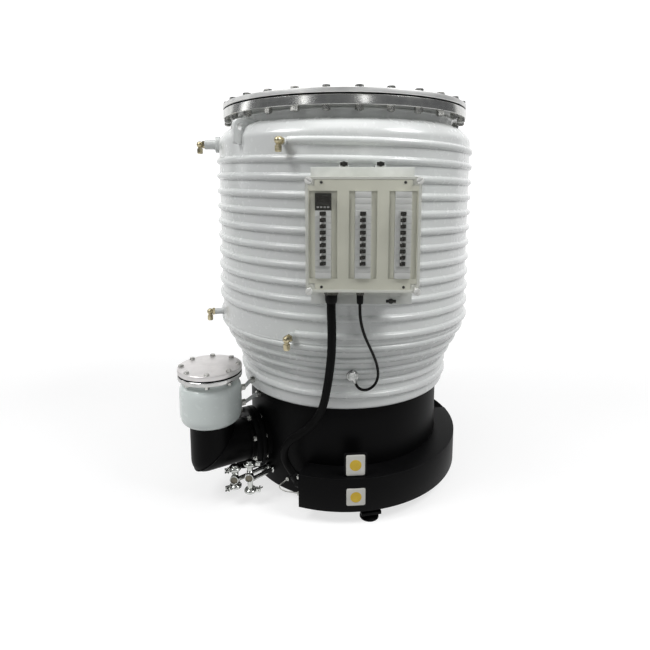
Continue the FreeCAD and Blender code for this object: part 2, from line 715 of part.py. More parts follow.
save("jet_tie_rod", [tie_rod, tie_nut.cut(tie_rod)])

# Cold cap: a water-cooled disc over the jets, hung from its two pipes

cold_base = nut_top + COLD_CAP_GAP
cold_top = cold_base + COLD_CAP_HEIGHT
cold_cap = rod(COLD_CAP_DIA, vec(0, 0, cold_base), UP, COLD_CAP_HEIGHT)


def cap_pipe(bearing):
    """From the bulge's inner wall level with the port, in over the cap and down onto it."""
    wall = body_radius(CAP_PORT_HEIGHT) - BODY_WALL
    run = rod(CAP_PIPE_DIA, at(CAP_PIPE_REACH, bearing, CAP_PORT_HEIGHT), outward(bearing), wall)
    drop_top = CAP_PORT_HEIGHT + CAP_PIPE_DIA / 2
    drop = rod(CAP_PIPE_DIA, at(CAP_PIPE_REACH, bearing, cold_top), UP, drop_top - cold_top)
    inside = rod(2 * wall, vec(0, 0, cold_base), UP, FLANGE_TOP - cold_base)
    return run.common(inside).fuse(drop)


save("cold_cap", [cold_cap, cap_pipe(CAP_SUPPLY_BEARING), cap_pipe(CAP_RETURN_BEARING)])

# Boiler: a black welded pot with a thick floor, pierced by the foreline and the heaters

boiler_pot = rod(BOILER_OD, vec(0, 0, BOILER_BOTTOM), UP, BOILER_HEIGHT)
boiler_inside = rod(BOILER_OD - 2 * BOILER_WALL, vec(0, 0, boiler_floor_top), UP, BOILER_HEIGHT)
foreline_bore = FORELINE_OD - 2 * FORELINE_WALL
foreline_way = rod(foreline_bore, at(JET_FOOT_R, FORELINE_BEARING, FORELINE_HEIGHT),
                   outward(FORELINE_BEARING), BOILER_R)
heater_bearings = [HEATER_FIRST_BEARING + HEATER_STEP * i for i in range(HEATER_COUNT)]
heater_ways = [rod(HEATER_DIA, at(JET_FOOT_R, b, HEATER_HEIGHT), outward(b), BOILER_R) for b in heater_bearings]
save("boiler_shell", boiler_pot.cut(boiler_inside).cut([foreline_way] + heater_ways))

# Immersion heaters: a sheath across the oil, a hexagon on the wall and a terminal in the duct


def heater(bearing):
    seat = at(BOILER_R, bearing, HEATER_HEIGHT)
    sheath = rod(HEATER_DIA, at(HEATER_REACH, bearing, HEATER_HEIGHT), outward(bearing), BOILER_R - HEATER_REACH)
    head = prism(6, HEATER_HEX, at(BOILER_R - BOILER_WALL, bearing, HEATER_HEIGHT), outward(bearing),
                 BOILER_WALL + HEATER_HEX_LENGTH)
    pin = prism(THREAD_SIDES, HEATER_PIN_DIA, seat + outward(bearing) * HEATER_HEX_LENGTH, outward(bearing),
                HEATER_PIN_LENGTH)
    return sheath.fuse([head.cut(boiler_pot), pin])


save("immersion_heaters", [heater(b) for b in heater_bearings])

# Terminal duct: a sheet skirt round the boiler's foot with two end plates and two top covers


def arc_ring(inner, outer, z0, z1, start, end):
    """Part of a flat ring between two bearings."""
    corners = [at(inner, 0, z0), at(outer, 0, z0), at(outer, 0, z1), at(inner, 0, z1)]
    face = Part.Face(Part.makePolygon(corners + corners[:1]))
    return turned(face.revolve(AXIS, UP, end - start), start)


cover_base = DUCT_TOP - DUCT_SHEET
duct_inner = BOILER_R + DUCT_FIT
skirt_inner = DUCT_R - DUCT_SHEET
duct_way = outward(DUCT_START - 90.0)
plate_reach = skirt_inner + DUCT_SHEET / 2
studs = [made_up_bolt(RAIL_BOLT, at(DUCT_R - EARTH_STUD_INSET, DUCT_START, z), duct_way, DUCT_SHEET, False)[0]
         for z in EARTH_STUD_HEIGHTS]
skirt = arc_ring(skirt_inner, DUCT_R, DUCT_BOTTOM, cover_base, DUCT_START, DUCT_END)
start_plate = turned(block(0, DUCT_SHEET, -plate_reach, -duct_inner, DUCT_BOTTOM, cover_base), DUCT_START)
end_plate = turned(block(-DUCT_SHEET, 0, -plate_reach, -duct_inner, DUCT_BOTTOM, cover_base), DUCT_END)
save("terminal_duct", skirt.fuse([start_plate.cut(studs), end_plate]))

tab_reach = DUCT_R - TAB_SETBACK
tab_half = PLATE_WIDTH / 2 + TAB_MARGIN
plate_base = DUCT_TOP + TAB_BASE_GAP
tab = block(-tab_half, tab_half, -tab_reach, -tab_reach + TAB_SHEET, cover_base,
            plate_base + UPPER_PLATE_HEIGHT + TAB_MARGIN)
front_cover = arc_ring(duct_inner, DUCT_R, cover_base, DUCT_TOP, DUCT_START, DUCT_GAP_START)
rear_cover = arc_ring(duct_inner, DUCT_R, cover_base, DUCT_TOP, DUCT_GAP_END, DUCT_END)
save("duct_covers", [front_cover.fuse(turned(tab, PLATE_BEARING)), rear_cover])

# Two bare plates: a flat one on the tab and one that follows the skirt

plate_half = PLATE_WIDTH / 2
upper_plate = rounded_block(-plate_half, plate_half, -tab_reach - PLATE_THICK, -tab_reach,
                            plate_base, plate_base + UPPER_PLATE_HEIGHT, PLATE_CORNER)
lower_blank = rounded_block(-plate_half, plate_half, -DUCT_R - PLATE_THICK, -skirt_inner,
                            LOWER_PLATE_BASE, LOWER_PLATE_BASE + LOWER_PLATE_HEIGHT, PLATE_CORNER)
lower_band = tube(2 * (DUCT_R + PLATE_THICK), 2 * DUCT_R, vec(0, 0, DUCT_BOTTOM), UP, DUCT_TOP - DUCT_BOTTOM)
lower_plate = lower_blank.common(lower_band)
save("front_plates", [turned(upper_plate, PLATE_BEARING), turned(lower_plate, PLATE_BEARING)])

# Levelling feet: a tab under the boiler, a stem and a round pad

foot_reach = BOILER_R + FOOT_STAND_OFF
foot_tab = block(-FOOT_TAB_WIDTH / 2, FOOT_TAB_WIDTH / 2, -foot_reach - FOOT_TAB_NOSE, FOOT_TAB_LAP - BOILER_R,
                 BOILER_BOTTOM - FOOT_TAB_THICK, BOILER_BOTTOM)
pad_r, stem_r = FOOT_PAD_DIA / 2, FOOT_STEM_DIA / 2
stem_top = BOILER_BOTTOM - FOOT_TAB_THICK
foot_pad = revolved([(0, 0), (pad_r, 0), (pad_r, FOOT_PAD_RIM), (stem_r, FOOT_PAD_THICK), (stem_r, stem_top),
                     (0, stem_top)], 0.0, -foot_reach)
save("levelling_feet", ring_of(foot_tab.fuse(foot_pad), FOOT_COUNT, FOOT_BEARING))

# Foreline: a flanged stub from the boiler and a mitred elbow, their joint bolted through both flanges

foreline_out = outward(FORELINE_BEARING)
stub_joint = BOILER_R + FORELINE_STUB_LENGTH
elbow_joint = stub_joint + ISO_FLANGE_THICK + ISO_SEAL_GAP
iso_bolt_r = ISO_FLANGE_OD / 2 - ISO_BOLT_EDGE
half_step = 180.0 / ISO_BOLT_COUNT


def iso_places(centre, direction, first):
    """The bolt places of an ISO flange that faces a direction."""
    lean = FreeCAD.Rotation(UP, direction)
    turns = [first + 360.0 * i / ISO_BOLT_COUNT for i in range(ISO_BOLT_COUNT)]
    return [centre + lean.multVec(at(iso_bolt_r, turn, 0)) for turn in turns]


def iso_disc(start, direction, length, first, bore=0.0, dia=ISO_FLANGE_OD):
    """A flange, a gasket or a blank cover, with its bolt holes."""
    disc = rod(dia, start, direction, length)
    ways = [prism(THREAD_SIDES, ISO_HOLE_DIA, place, direction, length)
            for place in iso_places(start, direction, first)]
    return disc.cut(ways + ([rod(bore, start, direction, length)] if bore else []))


def mitred(dia):
    """A bar that runs out along the foreline and turns straight up at the baffle's axis."""
    corner = at(FORELINE_REACH, FORELINE_BEARING, FORELINE_HEIGHT)
    level = rod(dia, at(elbow_joint, FORELINE_BEARING, FORELINE_HEIGHT), foreline_out, FORELINE_REACH)
    upright = rod(dia, corner - UP * FORELINE_OD, UP, FORELINE_OD + BAFFLE_BASE + BAFFLE_SOCKET - FORELINE_HEIGHT)
    span = FORELINE_REACH - stub_joint
    side = foreline_out.cross(UP) * FORELINE_OD
    halves = []
    for way, bar in ((-1, level), (1, upright)):
        corners = [foreline_out * -span + UP * span, foreline_out * span - UP * span, (foreline_out + UP) * span * way]
        wedge = Part.Face(Part.makePolygon([corner + c - side for c in corners + corners[:1]])).extrude(side * 2)
        halves.append(bar.common(wedge))
    return halves[0].fuse(halves[1])


stub_start = at(JET_FOOT_R, FORELINE_BEARING, FORELINE_HEIGHT)
stub_pipe = rod(FORELINE_OD, stub_start, foreline_out, stub_joint - JET_FOOT_R)
stub_collar = rod(FORELINE_OD + 2 * FORELINE_COLLAR_LAND, stub_start, foreline_out,
                  BOILER_R + FORELINE_COLLAR_LENGTH - JET_FOOT_R)
stub_way = rod(foreline_bore, stub_start, foreline_out, stub_joint - JET_FOOT_R)
stub_face = at(stub_joint, FORELINE_BEARING, FORELINE_HEIGHT)
stub_flange = iso_disc(stub_face, foreline_out, ISO_FLANGE_THICK, half_step, foreline_bore)
save("foreline_stub", stub_pipe.fuse(stub_collar).cut([boiler_pot, stub_way]).fuse(stub_flange))

elbow_face = at(elbow_joint, FORELINE_BEARING, FORELINE_HEIGHT)
elbow_flange = iso_disc(elbow_face, foreline_out, ISO_FLANGE_THICK, half_step, foreline_bore)
save("foreline_elbow", mitred(FORELINE_OD).cut(mitred(foreline_bore)).fuse(elbow_flange))

# Baffle housing: a round-shouldered pot on the elbow, its flange, its cover and the baffle inside

pot_x, pot_y = at(FORELINE_REACH, FORELINE_BEARING, 0).x, at(FORELINE_REACH, FORELINE_BEARING, 0).y
pot_low = BAFFLE_BASE + BAFFLE_ROUND
pot_high = pot_low + BAFFLE_WALL_HEIGHT
pot_flange = pot_high + BAFFLE_ROUND + BAFFLE_NECK_HEIGHT
pot_seal = pot_flange + ISO_FLANGE_THICK
pot_cover = pot_seal + ISO_SEAL_GAP
pot_top = pot_cover + FORELINE_COVER_THICK
arc_r = BAFFLE_OD / 2 - BAFFLE_ROUND
pot_neck_r = ISO_FLANGE_OD / 2 - BAFFLE_NECK_INSET


def pot_line(inset):
    """The housing's outline from its foot to its neck, moved in by a wall's thickness."""
    radius = BAFFLE_ROUND - inset
    neck_r = pot_neck_r - inset
    foot, neck = acos((FORELINE_R - arc_r) / radius), acos((neck_r - arc_r) / radius)
    steps = [i / BAFFLE_FACETS for i in range(BAFFLE_FACETS + 1)]
    low = [(arc_r + radius * cos(foot * (1 - t)), pot_low - radius * sin(foot * (1 - t))) for t in steps]
    high = [(arc_r + radius * cos(neck * t), pot_high + radius * sin(neck * t)) for t in steps]
    return low + high + [(neck_r, pot_flange)]


pot_shell = revolved(pot_line(0.0) + list(reversed(pot_line(BAFFLE_WALL))), pot_x, pot_y)
pot_bore = 2 * (pot_neck_r - BAFFLE_WALL)
pot_ring = iso_disc(vec(pot_x, pot_y, pot_flange), UP, ISO_FLANGE_THICK, BAFFLE_BOLT_BEARING, pot_bore)
save("baffle_housing", pot_shell.fuse(pot_ring))
save("foreline_cover", iso_disc(vec(pot_x, pot_y, pot_cover), UP, FORELINE_COVER_THICK, BAFFLE_BOLT_BEARING))

chevron_first = BAFFLE_BASE + CHEVRON_RISE
chevron_r, spindle_r = CHEVRON_OD / 2, BAFFLE_ROD_DIA / 2
chevrons = []
for tier in range(CHEVRON_COUNT):
    low = chevron_first + CHEVRON_STEP * tier
    high = low + CHEVRON_STEP / 2
    chevrons.append(revolved([(0, high), (chevron_r, low), (chevron_r, low - CHEVRON_SHEET),
                              (0, high - CHEVRON_SHEET)], pot_x, pot_y))
spindle_low = chevron_first + CHEVRON_STEP / 2 - CHEVRON_SHEET
spindle = rod(BAFFLE_ROD_DIA, vec(pot_x, pot_y, spindle_low), UP, pot_high - spindle_low)
crossbar = block(pot_x - BAFFLE_OD, pot_x + BAFFLE_OD, pot_y - spindle_r, pot_y + spindle_r,
                 pot_high - BAFFLE_ROD_DIA, pot_high)
crossbar = crossbar.common(rod(BAFFLE_OD - 2 * BAFFLE_WALL, vec(pot_x, pot_y, pot_low), UP, BAFFLE_WALL_HEIGHT))
save("baffle_plates", spindle.fuse(chevrons + [crossbar]))

stub_seal = at(stub_joint + ISO_FLANGE_THICK, FORELINE_BEARING, FORELINE_HEIGHT)
seal_bore, seal_dia = foreline_bore + 2 * ISO_SEAL_BORE_GAP, ISO_FLANGE_OD - 2 * ISO_SEAL_RIM_GAP
stub_gasket = iso_disc(stub_seal, foreline_out, ISO_SEAL_GAP, half_step, seal_bore, seal_dia)
pot_gasket = iso_disc(vec(pot_x, pot_y, pot_seal), UP, ISO_SEAL_GAP, BAFFLE_BOLT_BEARING, seal_bore, seal_dia)
save("flange_seals", [inlet_gasket, stub_gasket, pot_gasket])

joint_grip = 2 * ISO_FLANGE_THICK + ISO_SEAL_GAP
cover_grip = ISO_FLANGE_THICK + ISO_SEAL_GAP + FORELINE_COVER_THICK
foreline_bolts = []
for place in iso_places(stub_face, foreline_out, half_step):
    foreline_bolts += made_up_bolt(FORELINE_BOLT, place, foreline_out * -1, joint_grip)
for place in iso_places(vec(pot_x, pot_y, pot_top), UP, BAFFLE_BOLT_BEARING):
    foreline_bolts += made_up_bolt(FORELINE_BOLT, place, UP, cover_grip)
save("foreline_bolts", foreline_bolts)


def routed(points, dia):
    """A round bar along a route: straight runs joined by tangent arcs as wide as the runs allow."""
    places = [vec(*point) for point in points]
    edges, radii, start = [], [], places[0]
    for before, here, after in zip(places, places[1:], places[2:]):
        come, go = (here - before).normalize(), (after - here).normalize()
        reach = CORD_ARC_SHARE * min((here - before).Length, (after - here).Length)
        half = come.getAngle(go) / 2
        radii.append(reach / tan(half))
        middle = here + (go - come).normalize() * (radii[-1] / cos(half) - radii[-1])
        edges.append(Part.LineSegment(start, here - come * reach).toShape())
        edges.append(Part.Arc(here - come * reach, middle, here + go * reach).toShape())
        start = here + go * reach
    edges.append(Part.LineSegment(start, places[-1]).toShape())
    path = Part.Wire(edges)
    ring = Part.Wire(Part.makeCircle(dia / 2, places[0], places[1] - places[0]))
    bar = path.makePipe(Part.Face(ring))
    share = bar.Volume / (pi * dia * dia / 4 * path.Length)
    print(f"route {path.Length:.0f} long, least radius {min(radii) / dia:.1f} diameters, volume share {share:.4f}")
    return bar


# Cooling water for the baffle: two short pipes with a rise, a nut at each end


def link(height):
    """One pipe from the housing's side to the pump's wall."""
    wall = body_radius(height + LINK_RISE) if height > BOILER_TOP else BOILER_R
    pot = FORELINE_REACH - BAFFLE_OD / 2
    inner, outer = wall + LINK_NUT_LENGTH, pot - LINK_NUT_LENGTH
    reaches = (wall - CHANNEL_RISE, inner, outer, pot + CHANNEL_RISE)
    heights = (height + LINK_RISE, height + LINK_RISE, height, height)
    pipe = routed([tuple(at(r, LINK_BEARING, z)) for r, z in zip(reaches, heights)], LINK_PIPE_DIA)
    towards = outward(LINK_BEARING)
    nuts = [prism(6, LINK_NUT_FLATS, at(wall - CHANNEL_RISE, LINK_BEARING, heights[0]), towards,
                  LINK_NUT_LENGTH + CHANNEL_RISE / 2),
            prism(6, LINK_NUT_FLATS, at(outer + CHANNEL_RISE / 2, LINK_BEARING, height), towards,
                  LINK_NUT_LENGTH + CHANNEL_RISE / 2)]
    pot_core = rod(BAFFLE_OD, vec(pot_x, pot_y, BAFFLE_BASE), UP, BAFFLE_WALL_HEIGHT + 2 * BAFFLE_ROUND)
    return pipe.fuse(nuts).cut([body_core, boiler_pot, pot_core])


save("baffle_water_pipes", [link(BAFFLE_BASE + rise) for rise in LINK_POT_RISES])

# Oil service pipes: two upright tubes from the boiler, each with a cap and a clamp at both ends

SERVICE_PIPES = (
    dict(bearing=FILL_PIPE_BEARING, reach=BOILER_R + FILL_PIPE_STAND_OFF, top=FILL_PIPE_TOP,
         bottom=FILL_PIPE_BOTTOM, glass=FILL_GLASS_HEIGHT, side=FILL_CLAMP_SIDE),
    dict(bearing=DRAIN_PIPE_BEARING, reach=BOILER_R + DRAIN_PIPE_STAND_OFF, top=DRAIN_PIPE_TOP,
         bottom=DRAIN_PIPE_BOTTOM, glass=DRAIN_GLASS_HEIGHT, side=DRAIN_CLAMP_SIDE),
)


def service_post(pipe):
    """The tube, its two end flanges, its feed from the boiler and the seat of its sight glass."""
    foot = at(pipe["reach"], pipe["bearing"], pipe["bottom"])
    height = pipe["top"] - pipe["bottom"]
    lower = foot + UP * SERVICE_CAP_THICK
    upper = foot + UP * (height - SERVICE_CAP_THICK - SERVICE_FLANGE_THICK)
    post = rod(SERVICE_PIPE_DIA, lower, UP, height - 2 * SERVICE_CAP_THICK)
    rims = [rod(SERVICE_FLANGE_DIA, end, UP, SERVICE_FLANGE_THICK) for end in (lower, upper)]
    feed = rod(SERVICE_FEED_DIA, at(JET_FOOT_R, pipe["bearing"], SERVICE_FEED_HEIGHT), outward(pipe["bearing"]),
               pipe["reach"] - JET_FOOT_R).cut(boiler_pot)
    eye = at(pipe["reach"], pipe["bearing"], pipe["glass"])
    seat = rod(GLASS_DIA + 2 * GLASS_RIM, eye, FRONT, GLASS_REACH)
    seat = seat.cut(rod(GLASS_DIA, eye + FRONT * (GLASS_REACH - GLASS_LENGTH), FRONT, GLASS_LENGTH))
    return post.fuse(rims + [feed, seat])


def service_ends(pipe):
    """The joint of each end: its cap's place, the clamp's middle, and which way is out."""
    top, bottom = (at(pipe["reach"], pipe["bearing"], pipe[end]) for end in ("top", "bottom"))
    return ((top, UP * -1), (bottom, UP))


def clamp(end, inwards, side):
    """A ring round the two rims, closed by a screw through its lug and a wing nut."""
    middle = end + inwards * SERVICE_CAP_THICK
    ring = tube(CLAMP_DIA, SERVICE_FLANGE_DIA, middle - UP * CLAMP_HEIGHT / 2, UP, CLAMP_HEIGHT)
    lug_start, lug_end = (CLAMP_DIA + SERVICE_FLANGE_DIA) / 4, CLAMP_DIA / 2 + CLAMP_LUG
    half = CLAMP_LUG_WIDTH / 2
    lug = block(-half, half, -lug_end, -lug_start, -CLAMP_HEIGHT / 2, CLAMP_HEIGHT / 2)
    screw_y = -CLAMP_DIA / 2 - CLAMP_LUG / 2
    hub = rod(WING_HUB_DIA, vec(half, screw_y, 0), vec(1, 0, 0), WING_HUB_LENGTH)
    wing = block(half + WING_HUB_LENGTH / 2, half + WING_HUB_LENGTH / 2 + WING_HEIGHT, screw_y - WING_SPAN / 2,
                 screw_y + WING_SPAN / 2, -WING_THICK / 2, WING_THICK / 2)
    closing = turned(lug.fuse([hub, wing]), side)
    closing.translate(middle)
    return ring.fuse(closing)


clamps, caps = [], []
for pipe in SERVICE_PIPES:
    for end, inwards in service_ends(pipe):
        caps.append(rod(SERVICE_FLANGE_DIA, end, inwards, SERVICE_CAP_THICK))
        clamps.append(clamp(end, inwards, pipe["side"]))
save("service_pipes", [service_post(pipe) for pipe in SERVICE_PIPES] + caps)
save("service_clamps", clamps)
save("sight_glasses", [rod(GLASS_DIA, at(pipe["reach"], pipe["bearing"], pipe["glass"])
                           + FRONT * (GLASS_REACH - GLASS_LENGTH), FRONT, GLASS_LENGTH - GLASS_RIM)
                       for pipe in SERVICE_PIPES])

# Rails: two slotted channels on welded brackets, joined by two straps that carry the box

RAIL_BACK_Y = RAIL_FACE_Y + RAIL_DEPTH
bracket_half = BRACKET_WIDTH / 2
bracket_xs = [BOX_CENTRE_X + side * spacing / 2
              for spacing in (TOP_BRACKET_SPACING, BOTTOM_BRACKET_SPACING) for side in (-1, 1)]
top_xs, bottom_xs = bracket_xs[:2], bracket_xs[2:]
top_bolt_z = TOP_RAIL_TOP + TOP_BOLT_RISE
bottom_bolt_z = BOTTOM_RAIL_BOTTOM + BOTTOM_BOLT_RISE
plate_top = TOP_RAIL_TOP + TAB_RISE
top_foot, bottom_foot = TOP_RAIL_TOP - TOP_BRACKET_DROP, BOTTOM_RAIL_BOTTOM + BOTTOM_BRACKET_RISE
strap_top = TOP_RAIL_TOP - RAIL_HEIGHT + STRAP_TOP_LAP
strap_bottom = BOTTOM_RAIL_BOTTOM + RAIL_HEIGHT - STRAP_BOTTOM_LAP


def rail(top):
    """A channel whose open side, between two lips, faces the front."""
    half = BASE_WIDTH / 2 - RAIL_END_GAP
    left, right = BOX_CENTRE_X - half, BOX_CENTRE_X + half
    middle = top - RAIL_HEIGHT / 2
    bar = block(left, right, RAIL_FACE_Y, RAIL_BACK_Y, top - RAIL_HEIGHT, top)
    hollow = block(left, right, RAIL_FACE_Y + RAIL_SHEET, RAIL_BACK_Y - RAIL_SHEET,
                   top - RAIL_HEIGHT + RAIL_SHEET, top - RAIL_SHEET)
    slot = block(left, right, RAIL_FACE_Y, RAIL_FACE_Y + RAIL_SHEET, middle - RAIL_SLOT / 2, middle + RAIL_SLOT / 2)
    return bar.cut([hollow, slot])


def across(x, front, back, z0, z1, half):
    return block(x - half, x + half, front, back, z0, z1)


tabs = [across(x, RAIL_BACK_Y - RAIL_SHEET, RAIL_BACK_Y, TOP_RAIL_TOP, plate_top, bracket_half) for x in top_xs]
rail_bolts = [made_up_bolt(RAIL_BOLT, vec(x, RAIL_BACK_Y - RAIL_SHEET, top_bolt_z), FRONT,
                           RAIL_SHEET + BRACKET_PLATE, False)[0] for x in top_xs]
rail_bolts += [made_up_bolt(RAIL_BOLT, vec(x, RAIL_FACE_Y, bottom_bolt_z), FRONT,
                            RAIL_DEPTH + BRACKET_PLATE, False)[0] for x in bottom_xs]
straps = [across(BOX_CENTRE_X + side * STRAP_SPACING / 2, RAIL_FACE_Y - STRAP_SHEET, RAIL_FACE_Y,
                 strap_bottom, strap_top, STRAP_WIDTH / 2) for side in (-1, 1)]
top_rail = rail(TOP_RAIL_TOP).fuse(tabs).cut(rail_bolts)
bottom_rail = rail(BOTTOM_RAIL_BOTTOM + RAIL_HEIGHT).cut(rail_bolts)
save("box_rails", [top_rail, bottom_rail] + straps)

brackets = [across(x, RAIL_BACK_Y, -JET_FOOT_R, foot, foot + BRACKET_FOOT_HEIGHT, bracket_half)
            for foot, xs in ((top_foot, top_xs), (bottom_foot, bottom_xs)) for x in xs]
plates = [across(x, RAIL_BACK_Y, RAIL_BACK_Y + BRACKET_PLATE, top_foot, plate_top, bracket_half)
          for x in top_xs]
top_brackets = [bracket.fuse(plate) for bracket, plate in zip(brackets, plates)]
save("rail_brackets", [b.cut([body_core] + rail_bolts) for b in top_brackets + brackets[2:]])

# Junction box: a base with a rim and corner bosses

box_back = RAIL_FACE_Y - STRAP_SHEET
box_face = box_back - BASE_DEPTH


def box_block(width, height, back, front, corner):
    """A rounded block about the box's middle, between two depths."""
    return rounded_block(BOX_CENTRE_X - width / 2, BOX_CENTRE_X + width / 2, front, back,
                         BOX_CENTRE_Z - height / 2, BOX_CENTRE_Z + height / 2, corner)


corner_x, corner_z = LID_WIDTH / 2 - LID_SCREW_INSET, LID_HEIGHT / 2 - LID_SCREW_INSET
corners = [(BOX_CENTRE_X + i * corner_x, BOX_CENTRE_Z + k * corner_z) for i in (-1, 1) for k in (-1, 1)]
inner_width, inner_height = BASE_WIDTH - 2 * BOX_WALL, BASE_HEIGHT - 2 * BOX_WALL
base_outer = box_block(BASE_WIDTH, BASE_HEIGHT, box_back, box_face, BOX_CORNER)
base_rim = box_block(LID_WIDTH, LID_HEIGHT, box_face + BASE_RIM, box_face, BOX_CORNER)
base_hollow = box_block(inner_width, inner_height, box_back - BOX_WALL, box_face, BOX_CORNER - BOX_WALL)
base_bosses = [rod(BASE_BOSS, vec(x, box_back - BOX_WALL, z), FRONT, BASE_DEPTH - BOX_WALL) for x, z in corners]
screw_ways = [rod(LID_SCREW_SHANK + 2 * LID_SCREW_CLEARANCE, vec(x, box_face, z), FRONT * -1,
                  LID_SCREW_ENTRY + LID_SCREW_CLEARANCE) for x, z in corners]
held_bosses = [boss.common(base_outer) for boss in base_bosses]
save("box_base", base_outer.fuse(base_rim).cut(base_hollow).fuse(held_bosses).cut(screw_ways))

# Mounting rails and modular devices in three upright columns

columns = [BOX_CENTRE_X + i * COLUMN_SPACING for i in (-1, 0, 1)]
rail_seat = box_back - BOX_WALL
module_back = rail_seat - DIN_RAIL_DEPTH
shoulder_y = module_back - MODULE_SHOULDER_DEPTH
nose_y = shoulder_y - NOSE_DEPTH
stack_top = BOX_CENTRE_Z + MODULE_STACK / 2


def din_rail(x):
    """A top-hat section, open to the front."""
    lip, hat = DIN_RAIL_WIDTH / 2, DIN_RAIL_HAT / 2
    inner, back, sheet = hat - DIN_RAIL_SHEET, rail_seat - DIN_RAIL_SHEET, DIN_RAIL_SHEET
    right = [(lip, module_back), (lip, module_back + sheet), (hat, module_back + sheet), (hat, rail_seat)]
    inside = [(inner, back), (inner, module_back)]
    half = right + [(-a, b) for a, b in reversed(right)] + [(-a, b) for a, b in reversed(inside)] + inside
    length = MODULE_STACK + 2 * DIN_RAIL_OVER
    bottom = BOX_CENTRE_Z - length / 2
    loop = [vec(x + a, b, bottom) for a, b in half]
    return Part.Face(Part.makePolygon(loop + loop[:1])).extrude(UP * length)


save("din_rails", [din_rail(x) for x in columns])


def module(x, first, count, set_back=0.0):
    """A device some modules tall: a wide rear part and a narrow nose."""
    top = stack_top - MODULE_PITCH * first - MODULE_GAP / 2
    bottom = stack_top - MODULE_PITCH * (first + count) + MODULE_GAP / 2
    rear = across(x - NOSE_SHIFT, shoulder_y, module_back, bottom, top, MODULE_REAR_WIDTH / 2)
    return rear.fuse(across(x, nose_y + set_back, shoulder_y, bottom, top, NOSE_WIDTH / 2))


# Breakers: three poles each, every pole with a pocket for the handle's barrel

handle_y = nose_y + HANDLE_SINK
barrel_r = HANDLE_BARREL_DIA / 2
breaker_bodies, handles = [], []
for x in columns:
    for i in range(BREAKERS_PER_COLUMN):
        first = MODULES_ABOVE + POLES_PER_BREAKER * i
        poles = [stack_top - MODULE_PITCH * (first + k + 0.5) for k in range(POLES_PER_BREAKER)]
        pocket = HANDLE_LEVER_LENGTH + HANDLE_SLOT_MARGIN
        ways = [rod(HANDLE_BARREL_DIA + 2 * HANDLE_CLEARANCE, vec(x, handle_y, z - pocket / 2), UP, pocket)
                for z in poles]
        breaker_bodies.append(module(x, first, POLES_PER_BREAKER).cut(ways))
        low, high = poles[-1] - HANDLE_LEVER_LENGTH / 2, poles[0] + HANDLE_LEVER_LENGTH / 2
        parts = [rod(HANDLE_BARREL_DIA, vec(x, handle_y, z - HANDLE_LEVER_LENGTH / 2), UP, HANDLE_LEVER_LENGTH)
                 for z in poles]
        parts += [across(x, handle_y - HANDLE_LEVER_REACH, handle_y, z - HANDLE_LEVER_LENGTH / 2,
                         z + HANDLE_LEVER_LENGTH / 2, HANDLE_LEVER_WIDTH / 2) for z in poles]
        tie = across(x, handle_y - HANDLE_LEVER_REACH, handle_y - HANDLE_LEVER_REACH + HANDLE_TIE, low, high,
                     HANDLE_TIE / 2)
        handle = tie.fuse(parts)
        handle.rotate(vec(x, handle_y, 0), UP, -HANDLE_TILT)
        handles.append(handle)
save("breaker_bodies", breaker_bodies)
for number, handle in enumerate(handles, 1):
    save(f"breaker_handle_{number}", handle)

blanks = [module(x, 0, MODULES_ABOVE, BLANK_SET_BACK) for x in columns[1:]]
blanks += [module(x, MODULE_COUNT - MODULES_BELOW, MODULES_BELOW, BLANK_SET_BACK) for x in columns]
save("module_blanks", blanks)

# Temperature controller: a display recess and four keys that travel in their pockets

controller = module(columns[0], 0, MODULES_ABOVE)
face_low = stack_top - MODULES_ABOVE * MODULE_PITCH
key_z = face_low + KEY_ROW
display_low = key_z + KEY_ROW
controller = controller.cut(across(columns[0], nose_y, nose_y + DISPLAY_RECESS, display_low,
                                   display_low + DISPLAY_HEIGHT, DISPLAY_WIDTH / 2))
key_xs = [columns[0] + KEY_STEP * (i - (KEY_COUNT - 1) / 2) for i in range(KEY_COUNT)]
key_half_width, key_half_height = KEY_WIDTH / 2, KEY_HEIGHT / 2
for number, x in enumerate(key_xs, 1):
    pocket = across(x, nose_y, nose_y + KEY_POCKET, key_z - key_half_height - KEY_CLEARANCE,
                    key_z + key_half_height + KEY_CLEARANCE, key_half_width + KEY_CLEARANCE)
    controller = controller.cut(pocket)
    save(f"controller_key_{number}", across(x, nose_y - KEY_PROUD, nose_y + KEY_SUNK, key_z - key_half_height,
                                            key_z + key_half_height, key_half_width))
save("temperature_controller", controller)

# Fascia: a sheet inside the base's rim, with one window for each column

fascia_back = box_face + FASCIA_SET_BACK + FASCIA_SHEET
fascia = box_block(inner_width, inner_height, fascia_back, box_face + FASCIA_SET_BACK, BOX_CORNER - BOX_WALL)
window_half = MODULE_STACK / 2 + WINDOW_MARGIN
windows = [across(x + WINDOW_SHIFT, box_face, fascia_back, BOX_CENTRE_Z - window_half, BOX_CENTRE_Z + window_half,
                  WINDOW_WIDTH / 2) for x in columns]
notches = [across(x, box_face, fascia_back, z - FASCIA_NOTCH / 2, z + FASCIA_NOTCH / 2, FASCIA_NOTCH / 2)
           for x, z in corners]
save("box_fascia", fascia.cut(windows + notches))

# Lid: a shallow clear cover with four screw pillars, and its slotted screws

